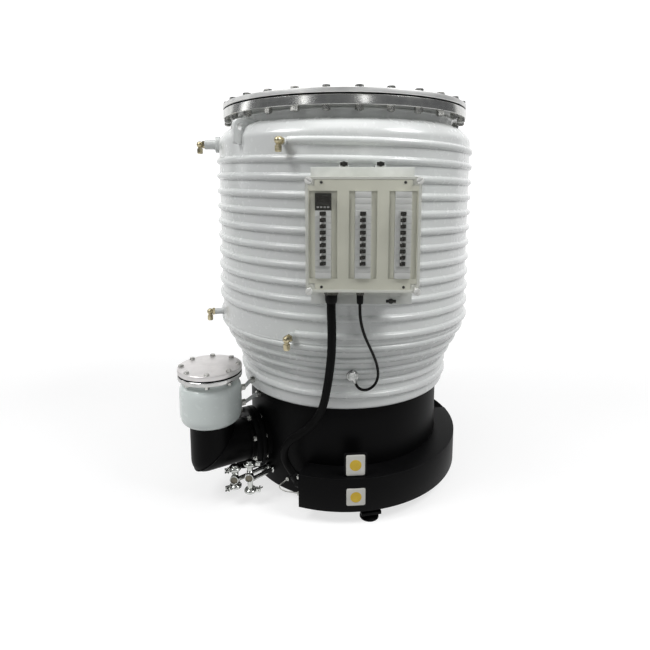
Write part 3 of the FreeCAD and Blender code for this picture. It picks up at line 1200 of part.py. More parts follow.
lid_back = box_face - LID_GAP
lid_face = lid_back - LID_DEPTH
lid_outer = box_block(LID_WIDTH, LID_HEIGHT, lid_back, lid_face, BOX_CORNER)
lid_hollow = box_block(LID_WIDTH - 2 * LID_WALL, LID_HEIGHT - 2 * LID_WALL, lid_back, lid_face + LID_WALL,
                       BOX_CORNER - LID_WALL)
pillars = [rod(LID_PILLAR_DIA, vec(x, lid_back, z), FRONT, LID_DEPTH).common(lid_outer) for x, z in corners]
screw_seat = lid_face + LID_SCREW_HEAD_THICK - LID_SCREW_PROUD
heads = [rod(LID_SCREW_HEAD, vec(x, screw_seat, z), FRONT, LID_SCREW_HEAD_THICK) for x, z in corners]
shank_end = box_face + LID_SCREW_ENTRY
shanks = [rod(LID_SCREW_SHANK, vec(x, shank_end, z), FRONT, shank_end - screw_seat) for x, z in corners]
save("box_lid", lid_outer.cut(lid_hollow).fuse(pillars).cut(heads + shanks))
head_front = lid_face - LID_SCREW_PROUD
slots = [block(x - LID_SCREW_HEAD, x + LID_SCREW_HEAD, head_front, head_front + LID_SCREW_SLOT_DEPTH,
               z - LID_SCREW_SLOT / 2, z + LID_SCREW_SLOT / 2) for x, z in corners]
save("lid_screws", [head.fuse(shank).cut(slots) for head, shank in zip(heads, shanks)])

# Cable glands under the box and on the end of the duct


def gland(size, start, direction, length):
    """A hexagon body and a cap that narrows to the cord."""
    nut = prism(6, size, start, direction, length * GLAND_NUT_SHARE)
    cap_start = start + direction * (length * GLAND_NUT_SHARE)
    cap = Part.makeCone(size / 2, size * GLAND_MOUTH_SHARE / 2, length * (1 - GLAND_NUT_SHARE), cap_start, direction)
    return nut.fuse(cap)


base_floor = BOX_CENTRE_Z - BASE_HEIGHT / 2
duct_seat = at(BOILER_R + DUCT_GLAND_OUT, DUCT_START, DUCT_GLAND_HEIGHT)
glands = [gland(size["flats"], vec(size["x"], box_back - GLAND_SET_OFF, base_floor), UP * -1, size["length"])
          for size in (CONDUIT_GLAND, SENSOR_GLAND)]
duct_knee = duct_seat + duct_way * DUCT_GLAND_NUT
duct_rise = duct_way * cos(radians(DUCT_GLAND_LEAN)) + UP * sin(radians(DUCT_GLAND_LEAN))
knee_ball = Part.makeSphere(CONDUIT_GLAND["flats"] / 2, duct_knee)
knee_cap = gland(CONDUIT_GLAND["flats"], duct_knee, duct_rise, DUCT_GLAND_LENGTH)
knee_foot = prism(6, CONDUIT_GLAND["flats"], duct_seat, duct_way, DUCT_GLAND_NUT)
beyond_plate = turned(block(0, BOILER_R, -DUCT_R, 0, DUCT_BOTTOM, DUCT_TOP), DUCT_START)
glands.append(knee_foot.fuse([knee_ball, knee_cap]).cut(beyond_plate))
save("cable_glands", glands)

# Thermostat: a puck over the lower channel, with its nipple pointing down and a little to the right

puck_level = LOWER_TOP + THERMOSTAT_RISE
puck_face = LOWER_R + THERMOSTAT_DEPTH
puck = rod(THERMOSTAT_DIA, at(LOWER_R, THERMOSTAT_BEARING, puck_level), outward(THERMOSTAT_BEARING),
           THERMOSTAT_DEPTH)
puck_cap = rod(THERMOSTAT_CAP_DIA, at(puck_face, THERMOSTAT_BEARING, puck_level),
               outward(THERMOSTAT_BEARING), THERMOSTAT_CAP)
nipple_way = outward(THERMOSTAT_BEARING + 90.0) * sin(radians(THERMOSTAT_NIPPLE_LEAN))
nipple_way = nipple_way - UP * cos(radians(THERMOSTAT_NIPPLE_LEAN))
nipple_seat = at(puck_face - THERMOSTAT_NIPPLE_SET_BACK, THERMOSTAT_BEARING, puck_level)
nipple = rod(THERMOSTAT_NIPPLE_DIA, nipple_seat, nipple_way, THERMOSTAT_DIA / 2 + THERMOSTAT_NIPPLE)
save("thermostat", puck.fuse([puck_cap, nipple]).cut([body_core, lower_coil]))

# Earth post on the boiler, and the bolts of the rails and of the earth studs

earth_post = rod(EARTH_POST_DIA, at(JET_FOOT_R, EARTH_POST_BEARING, EARTH_LEAD_ROUTE[0][2]),
                 outward(EARTH_POST_BEARING), BOILER_R + EARTH_POST_LENGTH - JET_FOOT_R).cut(boiler_pot)
save("small_bolts", rail_bolts + studs + [earth_post])

# Cords

save("heater_conduit", routed(CONDUIT_ROUTE, CONDUIT_DIA))
save("sensor_cable", routed(SENSOR_CABLE_ROUTE, SENSOR_CABLE_DIA))
save("earth_lead", routed(EARTH_LEAD_ROUTE, EARTH_LEAD_DIA))
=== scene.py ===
from math import cos, pi, radians, sin, sqrt

import bmesh
import bpy
import numpy as np
from mathutils import Matrix


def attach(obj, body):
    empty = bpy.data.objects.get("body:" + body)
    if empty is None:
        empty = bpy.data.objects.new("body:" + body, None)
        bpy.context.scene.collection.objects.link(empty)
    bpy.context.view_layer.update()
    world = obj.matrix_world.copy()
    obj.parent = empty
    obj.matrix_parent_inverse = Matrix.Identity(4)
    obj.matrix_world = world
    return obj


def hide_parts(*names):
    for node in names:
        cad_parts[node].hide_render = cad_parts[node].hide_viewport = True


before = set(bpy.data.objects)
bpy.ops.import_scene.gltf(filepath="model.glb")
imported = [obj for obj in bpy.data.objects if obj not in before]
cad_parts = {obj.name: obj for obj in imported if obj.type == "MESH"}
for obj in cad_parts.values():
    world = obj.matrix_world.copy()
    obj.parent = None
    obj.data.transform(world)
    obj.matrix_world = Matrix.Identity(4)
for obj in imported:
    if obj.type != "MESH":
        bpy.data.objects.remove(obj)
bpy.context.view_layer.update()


# Camera: it stands about two metres off at chest height and looks a little down. Its centre is moved
# off the picture's middle, because the photograph is cut from the lower part of a wider one.
def placed(name, data):
    """A new object in the scene that carries the given data."""
    made = bpy.data.objects.new(name, data)
    bpy.context.scene.collection.objects.link(made)
    return made


camera_data = bpy.data.cameras.new("camera")
camera_data.lens = 27.21
camera_data.sensor_width = 36.0
camera_data.shift_x = -0.0145
camera_data.shift_y = -0.1057
camera = placed("camera", camera_data)
camera_turn = Matrix.Rotation(radians(1.05), 4, "Z") @ Matrix.Rotation(radians(81.86), 4, "X")
camera.matrix_world = Matrix.Translation((0.0, -1.9715, 1.1351)) @ camera_turn @ Matrix.Rotation(radians(0.09), 4, "Z")
bpy.context.scene.camera = camera


def wired(tree, node, sockets, operation=None):
    """A shader node's outputs, after each named socket is set to a value or linked to an output."""
    if isinstance(node, str):
        node = tree.nodes.new("ShaderNode" + node)
    if operation:
        node.operation = operation
    for name, given in sockets.items():
        if isinstance(given, bpy.types.NodeSocket):
            tree.links.new(given, node.inputs[name])
        else:
            node.inputs[name].default_value = given
    return node.outputs


def worked(tree, fine, roughness, strength, relief):
    """The shader's gloss, between two values, and its relief, both from one fine pattern."""
    span = {"To Min": roughness[0], "To Max": roughness[1]}
    return {"Roughness": wired(tree, "MapRange", {"Value": fine, **span})["Result"],
        "Normal": wired(tree, "Bump", {"Height": fine, "Strength": strength, "Distance": relief})["Normal"]}


def finish(name, light, dark, roughness, blotch=4.0, grain=300.0, relief=0.0002, metal=0.0, coat=0.0,
        stretch=(1, 1, 1), shine=0.5, alpha=1.0):
    """A finish with two tones in soft blotches, and a finer grain that sets the gloss and the relief.

    The tone is a mix by noise at the blotch scale. A tone given as one number is a grey."""
    material = bpy.data.materials.new(name)
    material.use_nodes = True
    tree = material.node_tree
    place = wired(tree, "TexCoord", {})["Object"]
    tone = wired(tree, "TexNoise", {"Vector": place, "Scale": blotch, "Detail": 5.0})["Fac"]
    ramp = tree.nodes.new("ShaderNodeValToRGB")
    for stop, share, colour in zip(ramp.color_ramp.elements, (0.35, 0.7), (dark, light)):
        stop.position = share
        stop.color = (*np.resize(colour, 3), 1.0)
    lay = wired(tree, "Mapping", {"Vector": place, "Scale": stretch})["Vector"]
    fine = wired(tree, "TexNoise", {"Vector": lay, "Scale": grain, "Detail": 3.0})["Fac"]
    wired(tree, tree.nodes["Principled BSDF"], {"Base Color": wired(tree, ramp, {"Fac": tone})["Color"],
        **worked(tree, fine, roughness, 0.6, relief), "Metallic": metal, "Specular IOR Level": shine,
        "Coat Weight": coat, "Coat Roughness": 0.12, "Alpha": alpha})
    return material


def route_curve(name, points, dia):
    """A cord's line: one NURBS spline with the route's points as its control points."""
    data = bpy.data.curves.new(name, "CURVE")
    data.dimensions = "3D"
    data.resolution_u = 12
    spline = data.splines.new("NURBS")
    spline.points.add(len(points) - 1)
    for spot, point in zip(spline.points, points):
        spot.co = (*point, 1.0)
    spline.order_u = 3
    spline.use_endpoint_u = True
    data.bevel_depth = dia / 2
    data.bevel_resolution = 6
    data.use_fill_caps = True
    return placed(name, data)


def skin(rows, around=True, ends=True, loop=False):
    """Faces over rows of points: each point joins its neighbour in its row and those in the next row.

    The ends are closed by one face each; with loop, the last row joins the first instead."""
    count, across = rows.shape[:2]
    i, j = np.mgrid[0:count if loop else count - 1, 0:across if around else across - 1]
    up, side = (i + 1) % count, (j + 1) % across
    quads = np.stack([i * across + j, i * across + side, up * across + side, up * across + j], -1)
    faces = quads.reshape(-1, 4).tolist()
    if ends and not loop:
        faces += [np.arange(across)[::-1].tolist(), np.arange((count - 1) * across, count * across).tolist()]
    return rows.reshape(-1, 3), faces


def piece(name, parts, material, stands_for=None, body="pump"):
    """One object made of several skins, smooth except along edges that turn by more than 32 degrees."""
    counts = np.cumsum([0] + [len(points) for points, _ in parts])
    points = np.concatenate([points for points, _ in parts])
    faces = [[int(start) + corner for corner in face] for start, (_, some) in zip(counts, parts) for face in some]
    mesh = bpy.data.meshes.new(name)
    mesh.from_pydata(points.tolist(), [], faces)
    shell = bmesh.new()
    shell.from_mesh(mesh)
    bmesh.ops.recalc_face_normals(shell, faces=shell.faces)
    shell.to_mesh(mesh)
    shell.free()
    mesh.shade_smooth()
    mesh.set_sharp_from_angle(angle=radians(32.0))
    mesh.materials.append(material)
    made = placed(name, mesh)
    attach(made, body)
    if stands_for:
        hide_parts(stands_for)
    return made


def circle(turn, radius=1.0):
    """Points on a circle about the origin, at the given angles or at so many even ones."""
    turn = 2 * pi * np.arange(turn) / turn if isinstance(turn, int) else turn
    return radius * np.stack([np.cos(turn), np.sin(turn)], -1)


def tube(line, u, v, radius, sides):
    """Circles along a line, each spread over its own two directions and scaled by its radius."""
    return line[:, None] + np.reshape(radius, (-1, 1, 1)) * np.einsum("kc,cnx->nkx", circle(sides), np.stack([u, v]))


def unit(rows):
    """Vectors, one or a row of them, at length one."""
    return rows / np.linalg.norm(rows, axis=-1, keepdims=True)


def round_line(name, points):
    """The points of a cord's smooth line, read from its own spline, and two directions across it at each.

    The first one is square to the line and to the Y axis, which the line never follows."""
    guide = route_curve(name, points, 0.0)
    mesh = bpy.data.meshes.new_from_object(guide)
    line = np.array([v.co for v in mesh.vertices])
    bpy.data.objects.remove(guide)
    way = unit(np.gradient(line, axis=0))
    side = unit(np.cross(way, (0.0, 1.0, 0.0)))
    return line, side, np.cross(way, side)


# Heater conduit: a black ribbed hose from the box's big gland down the front of the pump to the
# terminal duct. It hangs off the wall, passes in front of the lower channels and turns left round the boiler.
CONDUIT_DIA = 0.027
CONDUIT_RIB = 0.0042
CONDUIT_RIB_DEPTH = 0.0006
CONDUIT_ROUTE = [(-.035, -.57, .797), (-.035, -.57, .772), (-.0335, -.567, .736), (-.033, -.558, .694),
    (-.034, -.544, .65), (-.037, -.526, .604), (-.042, -.505, .557), (-.051, -.477, .49), (-.063, -.449, .421),
    (-.084, -.429, .37), (-.112, -.42, .332), (-.146, -.416, .303), (-.176, -.409, .281), (-.195, -.399, .253),
    (-.203, -.388, .221), (-.2, -.38, .189), (-.18633, -.37793, .16103), (-.16931, -.38379, .13958)]


def ribbed_hose(name, points, dia, rib, depth, rows_per_rib=6):
    """A tube along a cord's smooth line whose radius falls and rises with the cosine of the way travelled."""
    line, side, cross = round_line(name + "_guide", points)
    travelled = np.concatenate([[0.0], np.cumsum(np.linalg.norm(np.diff(line, axis=0), axis=1))])
    stops = np.linspace(0.0, travelled[-1], int(travelled[-1] / rib * rows_per_rib))
    middle, u, v = (np.stack([np.interp(stops, travelled, a[:, k]) for k in range(3)], -1) for a in (line, side, cross))
    radius = dia / 2 - depth * (0.5 - 0.5 * np.cos(2 * pi * stops / rib))
    return line, skin(tube(middle, u, v, radius, 24))


black_hose = finish("black_hose", 0.004, 0.002, (0.45, 0.62), 30.0, 700.0, 0.00008, shine=0.06)
conduit_line, conduit_skin = ribbed_hose("heater_conduit", CONDUIT_ROUTE, CONDUIT_DIA, CONDUIT_RIB, CONDUIT_RIB_DEPTH)
conduit = piece("heater_conduit_hose", [conduit_skin], black_hose, "heater_conduit")

# Sensor cable: a black rubber cable from the small gland, hanging in a loop in front of the cone
# and turning back up into the thermostat's nipple.
SENSOR_ROUTE = [(.049, -.57, .795), (.049, -.57, .765), (.053, -.563, .735), (.06, -.55, .706), (.07, -.533, .675),
    (.084, -.508, .64), (.099, -.478, .6), (.111, -.453, .562), (.116, -.436, .522), (.1095, -.43, .4955),
    (.097, -.4285, .479), (.0825, -.4285, .4705), (.0679, -.4295, .4694), (.0557, -.4303, .4738),
    (.04632, -.43116, .48284), (.04146, -.43152, .49489)]


def plain_cord(name, points, dia, length, material, slot, stands_for, **facts):
    """A round cord: its own curve with a bevel as its sheath."""
    cord = route_curve(name, points, dia)
    cord.data.materials.append(material)
    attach(cord, "pump")
    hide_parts(stands_for)
    return cord


black_rubber = finish("black_rubber", 0.005, 0.003, (0.42, 0.6), 40.0, 900.0, 0.00005, shine=0.1)
plain_cord("sensor_cable_sheath", SENSOR_ROUTE, 0.009, 0.436, black_rubber, "cable_black", "sensor_cable",
    stiffness="medium", lay="hanging")

# Earth lead: a thin pale lead with a loop to spare, from the post on the boiler to the stud on the duct's end.
EARTH_ROUTE = [(-.199, -.3378, .09), (-.2102, -.3568, .09), (-.219, -.376, .094), (-.221, -.395, .098),
    (-.21, -.41, .097), (-.191, -.415, .093), (-.17, -.4153, .092), (-.1511, -.4218, .092)]
pale_sheath = finish("pale_sheath", (0.66, 0.66, 0.62), (0.54, 0.54, 0.51), (0.35, 0.5), 60.0, 900.0, 0.00005)
plain_cord("earth_lead_sheath", EARTH_ROUTE, 0.0045, 0.141, pale_sheath, "lead_white", "earth_lead",
    stiffness="medium", lay="loose")

# Levelling feet: a thick tab under the boiler, a stem and a round pad with a rounded rim, four of them.


UP, DOWN, FRONT = (0, 0, 1), (0, 0, -1), (0, -1, 0)


def mm(table):
    """A table of sizes in millimetres, in metres."""
    return np.array(table) * 0.001


def around_pump(bearing):
    """Three directions at a bearing about the pump's axis: level across, outward, and up."""
    b = radians(bearing)
    return np.array([(cos(b), sin(b), 0.0), (sin(b), -cos(b), 0.0), (0.0, 0.0, 1.0)])


def place_at(reach, bearing, z):
    """The point at a distance from the pump's axis, on a bearing and at a height."""
    return around_pump(bearing)[1] * reach + np.array((0.0, 0.0, z))


def basis(way):
    """Two directions square to a given one and to each other, and the given one."""
    way = unit(np.array(way, float))
    u = unit(np.cross((0.0, 0.0, 1.0) if abs(way[2]) < 0.9 else (1.0, 0.0, 0.0), way))
    return np.array([u, np.cross(way, u), way])


def eased(corners, ease, steps=4, closed=True):
    """A line with its corners rounded: each corner becomes a parabola between points an ease away from it."""
    corners = np.asarray(corners, float)
    before, after = np.roll(corners, 1, axis=0) - corners, np.roll(corners, -1, axis=0) - corners
    reach_in, reach_out = (np.minimum(ease, 0.48 * np.linalg.norm(d, axis=1)) / np.linalg.norm(d, axis=1)
        for d in (before, after))
    t = np.linspace(0.0, 1.0, steps)[None, :, None]
    start, end = corners + before * reach_in[:, None], corners + after * reach_out[:, None]
    bend = (1 - t) ** 2 * start[:, None] + 2 * t * (1 - t) * corners[:, None] + t ** 2 * end[:, None]
    if closed:
        return bend.reshape(-1, corners.shape[1])
    return np.concatenate([corners[:1], bend[1:-1].reshape(-1, corners.shape[1]), corners[-1:]])


def lathe(profile, seat=(0, 0, 0), way=(0, 0, 1), sides=96, start=None, end=None, loop=False):
    """A profile of (radius, height) turned about an axis: the whole way round, or between two bearings.

    A loop is a closed profile; an open one has its two ends closed by flat discs."""
    profile = np.asarray(profile, float)
    if start is None:
        u, v, w = basis(way)
        rows = profile[:, None, :1] * (circle(sides) @ np.array([u, v])) + profile[:, None, 1:] * w
        return skin(rows + seat, loop=loop)
    b = np.radians(np.linspace(start, end, sides + 1))[:, None]
    rows = np.stack([profile[:, 0] * np.sin(b), -profile[:, 0] * np.cos(b), profile[:, 1] + 0 * b], -1)
    return skin(rows)


def extruded(outline, low, high, ease, across=(1, 0, 0), deep=(0, 1, 0), up=(0, 0, 1), seat=(0, 0, 0), steps=3):
    """A closed outline carried up between two levels, its two rims rounded to a radius.

    Near each rim the outline is drawn in along its own normals, through a quarter circle."""
    outline = np.asarray(outline, float)
    along = np.roll(outline, -1, axis=0) - np.roll(outline, 1, axis=0)
    normal = np.stack([along[:, 1], -along[:, 0]], -1) / np.maximum(np.linalg.norm(along, axis=1), 1e-9)[:, None]
    area = np.sum(outline[:, 0] * np.roll(outline[:, 1], -1) - np.roll(outline[:, 0], -1) * outline[:, 1])
    normal *= np.sign(area)
    bend = np.linspace(0.0, pi / 2, steps + 1)
    levels = np.concatenate([low + ease * (1 - np.cos(bend)), (high - ease * (1 - np.cos(bend)))[::-1]])
    inset = np.concatenate([ease * (1 - np.sin(bend)), (ease * (1 - np.sin(bend)))[::-1]])
    flat = outline[None] - normal[None] * inset[:, None, None]
    rows = flat @ np.array([across, deep]) + levels[:, None, None] * np.array(up)
    return skin(rows + seat)


def rectangle(width, height, corner, steps):
    """A rectangle about the middle with round corners, going round from its right-hand side."""
    turn = np.concatenate([np.linspace(k * pi / 2, (k + 1) * pi / 2, steps) for k in range(4)])
    sign = np.repeat(np.array([(1, 1), (-1, 1), (-1, -1), (1, -1)], float), steps, axis=0)
    return sign * (width / 2 - corner, height / 2 - corner) + circle(turn, corner)


def brick(low, high, ease, across=(1, 0, 0), deep=(0, 1, 0), up=(0, 0, 1), seat=(0, 0, 0)):
    """A block between two corners given along three directions from a seat, all its edges rounded."""
    low, high = np.minimum(low, high), np.maximum(low, high)
    outline = (low + high)[:2] / 2 + rectangle(*(high - low)[:2], ease, 4)
    return extruded(outline, low[2], high[2], ease, across, deep, up, seat)


black_paint = finish("black_paint", (0.0036, 0.0036, 0.0038), (0.0022, 0.0022, 0.0024), (0.36, 0.52), 5.0, 260.0,
    0.00012, shine=0.06)
foot_line = mm([(33, 0), (33, 3), (31, 4.5), (14, 10), (12, 11.5), (12, 22)])
feet = []
for bearing in (13.0, 103.0, 193.0, 283.0):
    feet.append(lathe(foot_line, place_at(0.415, bearing, 0.0), sides=40))
    across, out, up = around_pump(bearing)
    feet.append(brick((-0.035, 0.34, 0.022), (0.035, 0.446, 0.034), 0.002, across, out, up))
piece("feet", feet, black_paint, "levelling_feet")

# Boiler: a rolled and welded black pot with a thick floor, hidden below by the duct round its foot.
boiler_line = eased(mm([(370, 48), (370, 386), (377.5, 386), (378, 40), (372, 34), (20, 34), (20, 48)])[::-1], 0.003, 3)


def bead(reach, height, swell, half):
    """A weld bead's profile: it swells by a half sine between two heights about the seam."""
    return np.stack([reach + swell * np.sin(np.linspace(0, pi, 7)), height + np.linspace(-half, half, 7)], -1)


piece("boiler_pot", [lathe(boiler_line, sides=192, loop=True),
    lathe(bead(0.3765, 0.3795, 0.0035, 0.0055), sides=192)], black_paint, "boiler_shell")

# Terminal duct: a rolled sheet skirt with a folded foot, closed by an end plate at each end.
# It stops short of the foreline, and the earth studs and the conduit's gland are on its left end plate.
DUCT_R, DUCT_INNER = 0.458, 0.3783
DUCT_LOW, DUCT_TOP = 0.049, 0.166
DUCT_START, DUCT_END = -19.0, 215.0


def band(inner, outer, low, high, ease=0.0018, steps=4):
    """The closed profile of a flat ring, with its corners rounded."""
    return eased([(inner, low), (outer, low), (outer, high), (inner, high)], ease, steps)


def end_plate(bearing, side):
    """A sheet across the duct from the boiler to the skirt, on one side of its bearing."""
    across, out, up = around_pump(bearing)
    near, far = sorted((0.0, side * 0.003))
    return brick((near, DUCT_INNER, DUCT_LOW), (far, 0.456, DUCT_TOP), 0.0005, across, out, up)


piece("duct_skirt", [lathe(band(0.455, DUCT_R, DUCT_LOW, DUCT_TOP, 0.001, 3), sides=150, start=DUCT_START,
    end=DUCT_END), end_plate(DUCT_START, 1), end_plate(DUCT_END, -1)], black_paint, "terminal_duct")

# Duct covers: two flat rings of sheet laid on the skirt, and the upright tab that carries the upper plate.
# They are the same satin black, a little duller than the pot.
black_sheet = finish("black_sheet", (0.005, 0.005, 0.0054), (0.0034, 0.0034, 0.0036), (0.4, 0.55), 7.0, 320.0,
    0.00015, shine=0.07)
cover_line = band(DUCT_INNER, DUCT_R, DUCT_TOP, 0.169, 0.0011)
tab_across, tab_out, tab_up = around_pump(5.7)
covers = [lathe(cover_line, sides=90, start=DUCT_START, end=102.0),
    lathe(cover_line, sides=70, start=118.0, end=DUCT_END),
    brick((-0.039, 0.439, 0.1665), (0.039, 0.442, 0.253), 0.0012, tab_across, tab_out, tab_up)]
piece("duct_lids", covers, black_sheet, "duct_covers")

# Front plates: two pale plates with rounded corners, one flat on the tab and one wrapped on the skirt.
# Each has a plain yellow disc on it and no writing.


def plate(width, height, corner, thick, reach, z, bent=False):
    """A thin plate with rounded corners that faces out from its reach, bent to that radius where it says so."""
    ring = rectangle(width, height, corner, 8)
    share = np.concatenate([[0.985, 1.0], np.linspace(1.0, 0.96, 3)[1:], np.linspace(0.8, 0.05, 8)])
    lift = np.concatenate([[0.0, 0.15, 0.9, 1.0], np.ones(8)]) * thick
    flat = ring[None] * share[:, None, None]
    out = reach + lift[:, None] + 0 * flat[..., 0]
    across = flat[..., 0]
    if bent:
        across, out = out * np.sin(flat[..., 0] / reach), out * np.cos(flat[..., 0] / reach)
    return skin(across[..., None] * tab_across + out[..., None] * tab_out + (z + flat[..., 1:]) * tab_up)


plate_white = finish("plate_white", (0.78, 0.77, 0.72), (0.68, 0.67, 0.62), (0.35, 0.5), 22.0, 500.0, 0.00004)
plate_yellow = finish("plate_yellow", (0.8, 0.55, 0.045), (0.7, 0.46, 0.03), (0.35, 0.5), 30.0, 500.0, 0.00004)
piece("front_plates_white", [plate(0.064, 0.074, 0.006, 0.0015, 0.442, 0.209),
    plate(0.064, 0.062, 0.006, 0.0015, DUCT_R, 0.104, True)], plate_white, "front_plates")
piece("front_plates_discs", [plate(0.04, 0.04, 0.0199, 0.0003, 0.4435, 0.209),
    plate(0.038, 0.038, 0.0189, 0.0003, DUCT_R + 0.0015, 0.104, True)], plate_yellow)

# Foreline stub and elbow: a black pipe with a collar at the boiler, two bolted flanges and a mitred
# turn straight up, its mitre closed by one weld bead.
FORELINE_BEARING = -57.9
FORELINE_Z = 0.19
FORELINE_REACH = 0.561
FORELINE_R = 0.077
FORELINE_FLANGE_R, FORELINE_BOLT_R = 0.1125, 0.1
STUB_FLANGE, STUB_FACE, ELBOW_FLANGE, ELBOW_START = 0.392, 0.408, 0.4125, 0.4285
POT_FLANGE, POT_FACE, POT_LID, POT_LID_TOP = 0.463, 0.479, 0.4835, 0.5015
foreline_across, foreline_out, foreline_up = around_pump(FORELINE_BEARING)
foreline_seat = np.array((0.0, 0.0, FORELINE_Z))
stub_line = mm([(97.8, 352), (97.8, 383.5), (96.5, 384.5), (79, 385), (77.2, 386.5), (77.2, 391)])
flange_line = band(0.0745, FORELINE_FLANGE_R, 0.0, 0.016)


def moved(line, by):
    """The cover's edge is bright; the seal's black rubber, run out near the rim, paints the gap's shade as a thin black
    line.
    """
    return np.asarray(line, float) + (0.0, by)


piece("foreline_stub_pipe", [lathe(stub_line, foreline_seat, foreline_out),
    lathe(moved(flange_line, STUB_FLANGE), foreline_seat, foreline_out, loop=True)], black_paint, "foreline_stub")

BAFFLE_SEAT = 0.3005
foreline_axes = np.array([foreline_across, foreline_out, foreline_up])


def mitre_ease(y):
    """How far from the mitre's plane a point of the pipe begins to turn: 45 mm outside, nearly none inside."""
    return 0.0225 * (1.02 - y / FORELINE_R)


def mitre_elbow(start, sides=96):
    """A round pipe out along the foreline and up: each ring's points turn where they meet the mitre's plane.

    A point's turn is a parabola, wide on the outside of the bend and nearly sharp on the inside."""
    x, y = circle(sides, FORELINE_R).T
    ease = mitre_ease(y)
    rows = [(x, start + (FORELINE_REACH - y - ease - start) * share, y) for share in (0.0, 0.2, 0.5, 0.8)]
    rows += [(x, FORELINE_REACH - y - ease * (1 - t) ** 2, y + ease * t ** 2) for t in np.linspace(0.0, 1.0, 9)]
    rows += [(x, FORELINE_REACH - y, y + ease + (BAFFLE_SEAT - FORELINE_Z - y - ease) * share)
        for share in (0.2, 0.5, 0.8, 1.0)]
    return skin(np.array(rows).swapaxes(1, 2) @ foreline_axes + foreline_seat)


def mitre_bead(height, sides=96):
    """A weld bead along the mitre: a small ring carried round the ellipse where the two pipes meet."""
    x, y = circle(sides, FORELINE_R).T
    ease = mitre_ease(y)
    line = np.stack([x, FORELINE_REACH - y - ease / 4, y + ease / 4], -1)
    outward = unit(circle(sides) @ np.array([(2.0, 0.0, 0.0), (0.0, -1.0, 1.0)]))
    along = unit(np.gradient(np.vstack([line[-1:], line, line[:1]]), axis=0)[1:-1])
    rows = tube(line, outward, 0.8 * np.cross(along, outward), height, 8)
    return skin(rows @ foreline_axes + foreline_seat, loop=True)


elbow_parts = [mitre_elbow(ELBOW_START), mitre_bead(0.0035),
    lathe(moved(flange_line, ELBOW_FLANGE), foreline_seat, foreline_out, loop=True),
    lathe(mm([(77.2, 428.5), (81.5, 428.7), (77.2, 434)]), foreline_seat, foreline_out)]
piece("foreline_elbow_pipe", elbow_parts, black_paint, "foreline_elbow")

# Flange seals: black rubber gaskets that fill the narrow gaps of the three flanged joints nearly to their rims.
# Filled so near the rims, the black rubber also paints the shade inside each gap.
seal_gap_shade_rubber = finish("seal_rubber", 0.004, 0.002, (0.6, 0.8), 50.0, 600.0, 0.00005, shine=0.05)
pot_middle = place_at(FORELINE_REACH, FORELINE_BEARING, 0.0)
INLET_FLANGE, INLET_FACE, COVER_LOW, COVER_TOP = 1.377, 1.407, 1.412, 1.428
small_seal = band(0.078, 0.1105, 0.0, 0.0045, 0.0015, 3)
piece("joint_seals_and_gap_shade", [lathe(moved(small_seal, STUB_FACE), foreline_seat, foreline_out, loop=True),
    lathe(moved(small_seal, POT_FACE), pot_middle, loop=True),
    lathe(band(0.406, 0.457, INLET_FACE, COVER_LOW, steps=3), sides=192, loop=True)], seal_gap_shade_rubber, "flange_seals")

# Foreline bolts: eight hexagon bolts and nuts in each of the two flanged joints.


def hexagon(flats, height, drop=0.32, steps=6):
    """A hexagon head as rows of points: its sides, then the cone that takes its corners off, then its face.

    At each point of the outline the side ends lower, the further out from the flat's middle it lies."""
    turn = 2 * pi * np.arange(6 * steps) / (6 * steps)
    outline = flats / 2 / np.cos((turn + pi / 6) % (pi / 3) - pi / 6)
    radii = np.array([outline, outline, 0 * turn + 0.475 * flats, 0 * turn + 0.42 * flats])
    heights = np.array([0 * turn, height - drop * (outline - 0.475 * flats), 0 * turn + height, 0 * turn + height])
    return np.concatenate([radii[..., None] * circle(turn), heights[..., None]], -1)


def set_out(rows, seat, way, spin=0.0):
    """Rows of points turned about their own axis, then set on a seat and pointed a way."""
    return rows @ np.array(Matrix.Rotation(-spin, 3, "Z")) @ basis(way) + seat


def nut(flats, height, seat, way, spin=0.0):
    """A hexagon of a width across its flats, standing on a seat."""
    return skin(set_out(hexagon(flats, height), seat, way, spin))


def bolt(thread, flats, head, nut_height, seat, way, grip, spin=0.0):
    """A bolt's washer and head, its shank, and the nut with a short end of thread below the joint."""
    seat, way = np.asarray(seat, float), np.asarray(way, float)
    low = seat - way * grip
    washer = [(flats * 0.6, 0.0), (flats * 0.6, 0.0014), (flats * 0.57, 0.0018)]
    parts = [lathe(washer, seat, way, sides=24), nut(flats, head, seat + way * 0.0016, way, spin)]
    if nut_height:
        shank = [(thread * 0.48, -nut_height - thread * 0.25), (thread * 0.48, grip)]
        parts += [lathe(shank, low, way, sides=12), lathe(washer, low, -way, sides=24),
            nut(flats, nut_height, low - way * 0.0016, -way, -spin)]
    return parts


def iso_places(centre, way, first):
    """The eight bolt places of a flange that faces a way, from a first bearing."""
    turn = np.radians(first + 45.0 * np.arange(8))
    u, v = (FRONT, (1, 0, 0)) if abs(way[2]) > 0.9 else basis(way)[:2]
    return centre + circle(turn, FORELINE_BOLT_R) @ np.array([u, v])


zinc = finish("zinc_steel", (0.62, 0.62, 0.59), (0.36, 0.36, 0.34), (0.16, 0.36), 60.0, 500.0, 0.00005, metal=1.0)
JOINT_BOLT = (0.01, 0.016, 0.005, 0.008)
joint_bolts = []
for seat in iso_places(foreline_seat + foreline_out * STUB_FLANGE, foreline_out, 22.5):
    joint_bolts += bolt(*JOINT_BOLT, seat, -foreline_out, 0.0365)
for number, seat in enumerate(iso_places(pot_middle + (0, 0, POT_LID_TOP), UP, 9.0)):
    joint_bolts += bolt(*JOINT_BOLT, seat, UP, 0.0385, spin=0.4 * number)
piece("foreline_bolt_sets", joint_bolts, zinc, "foreline_bolts")

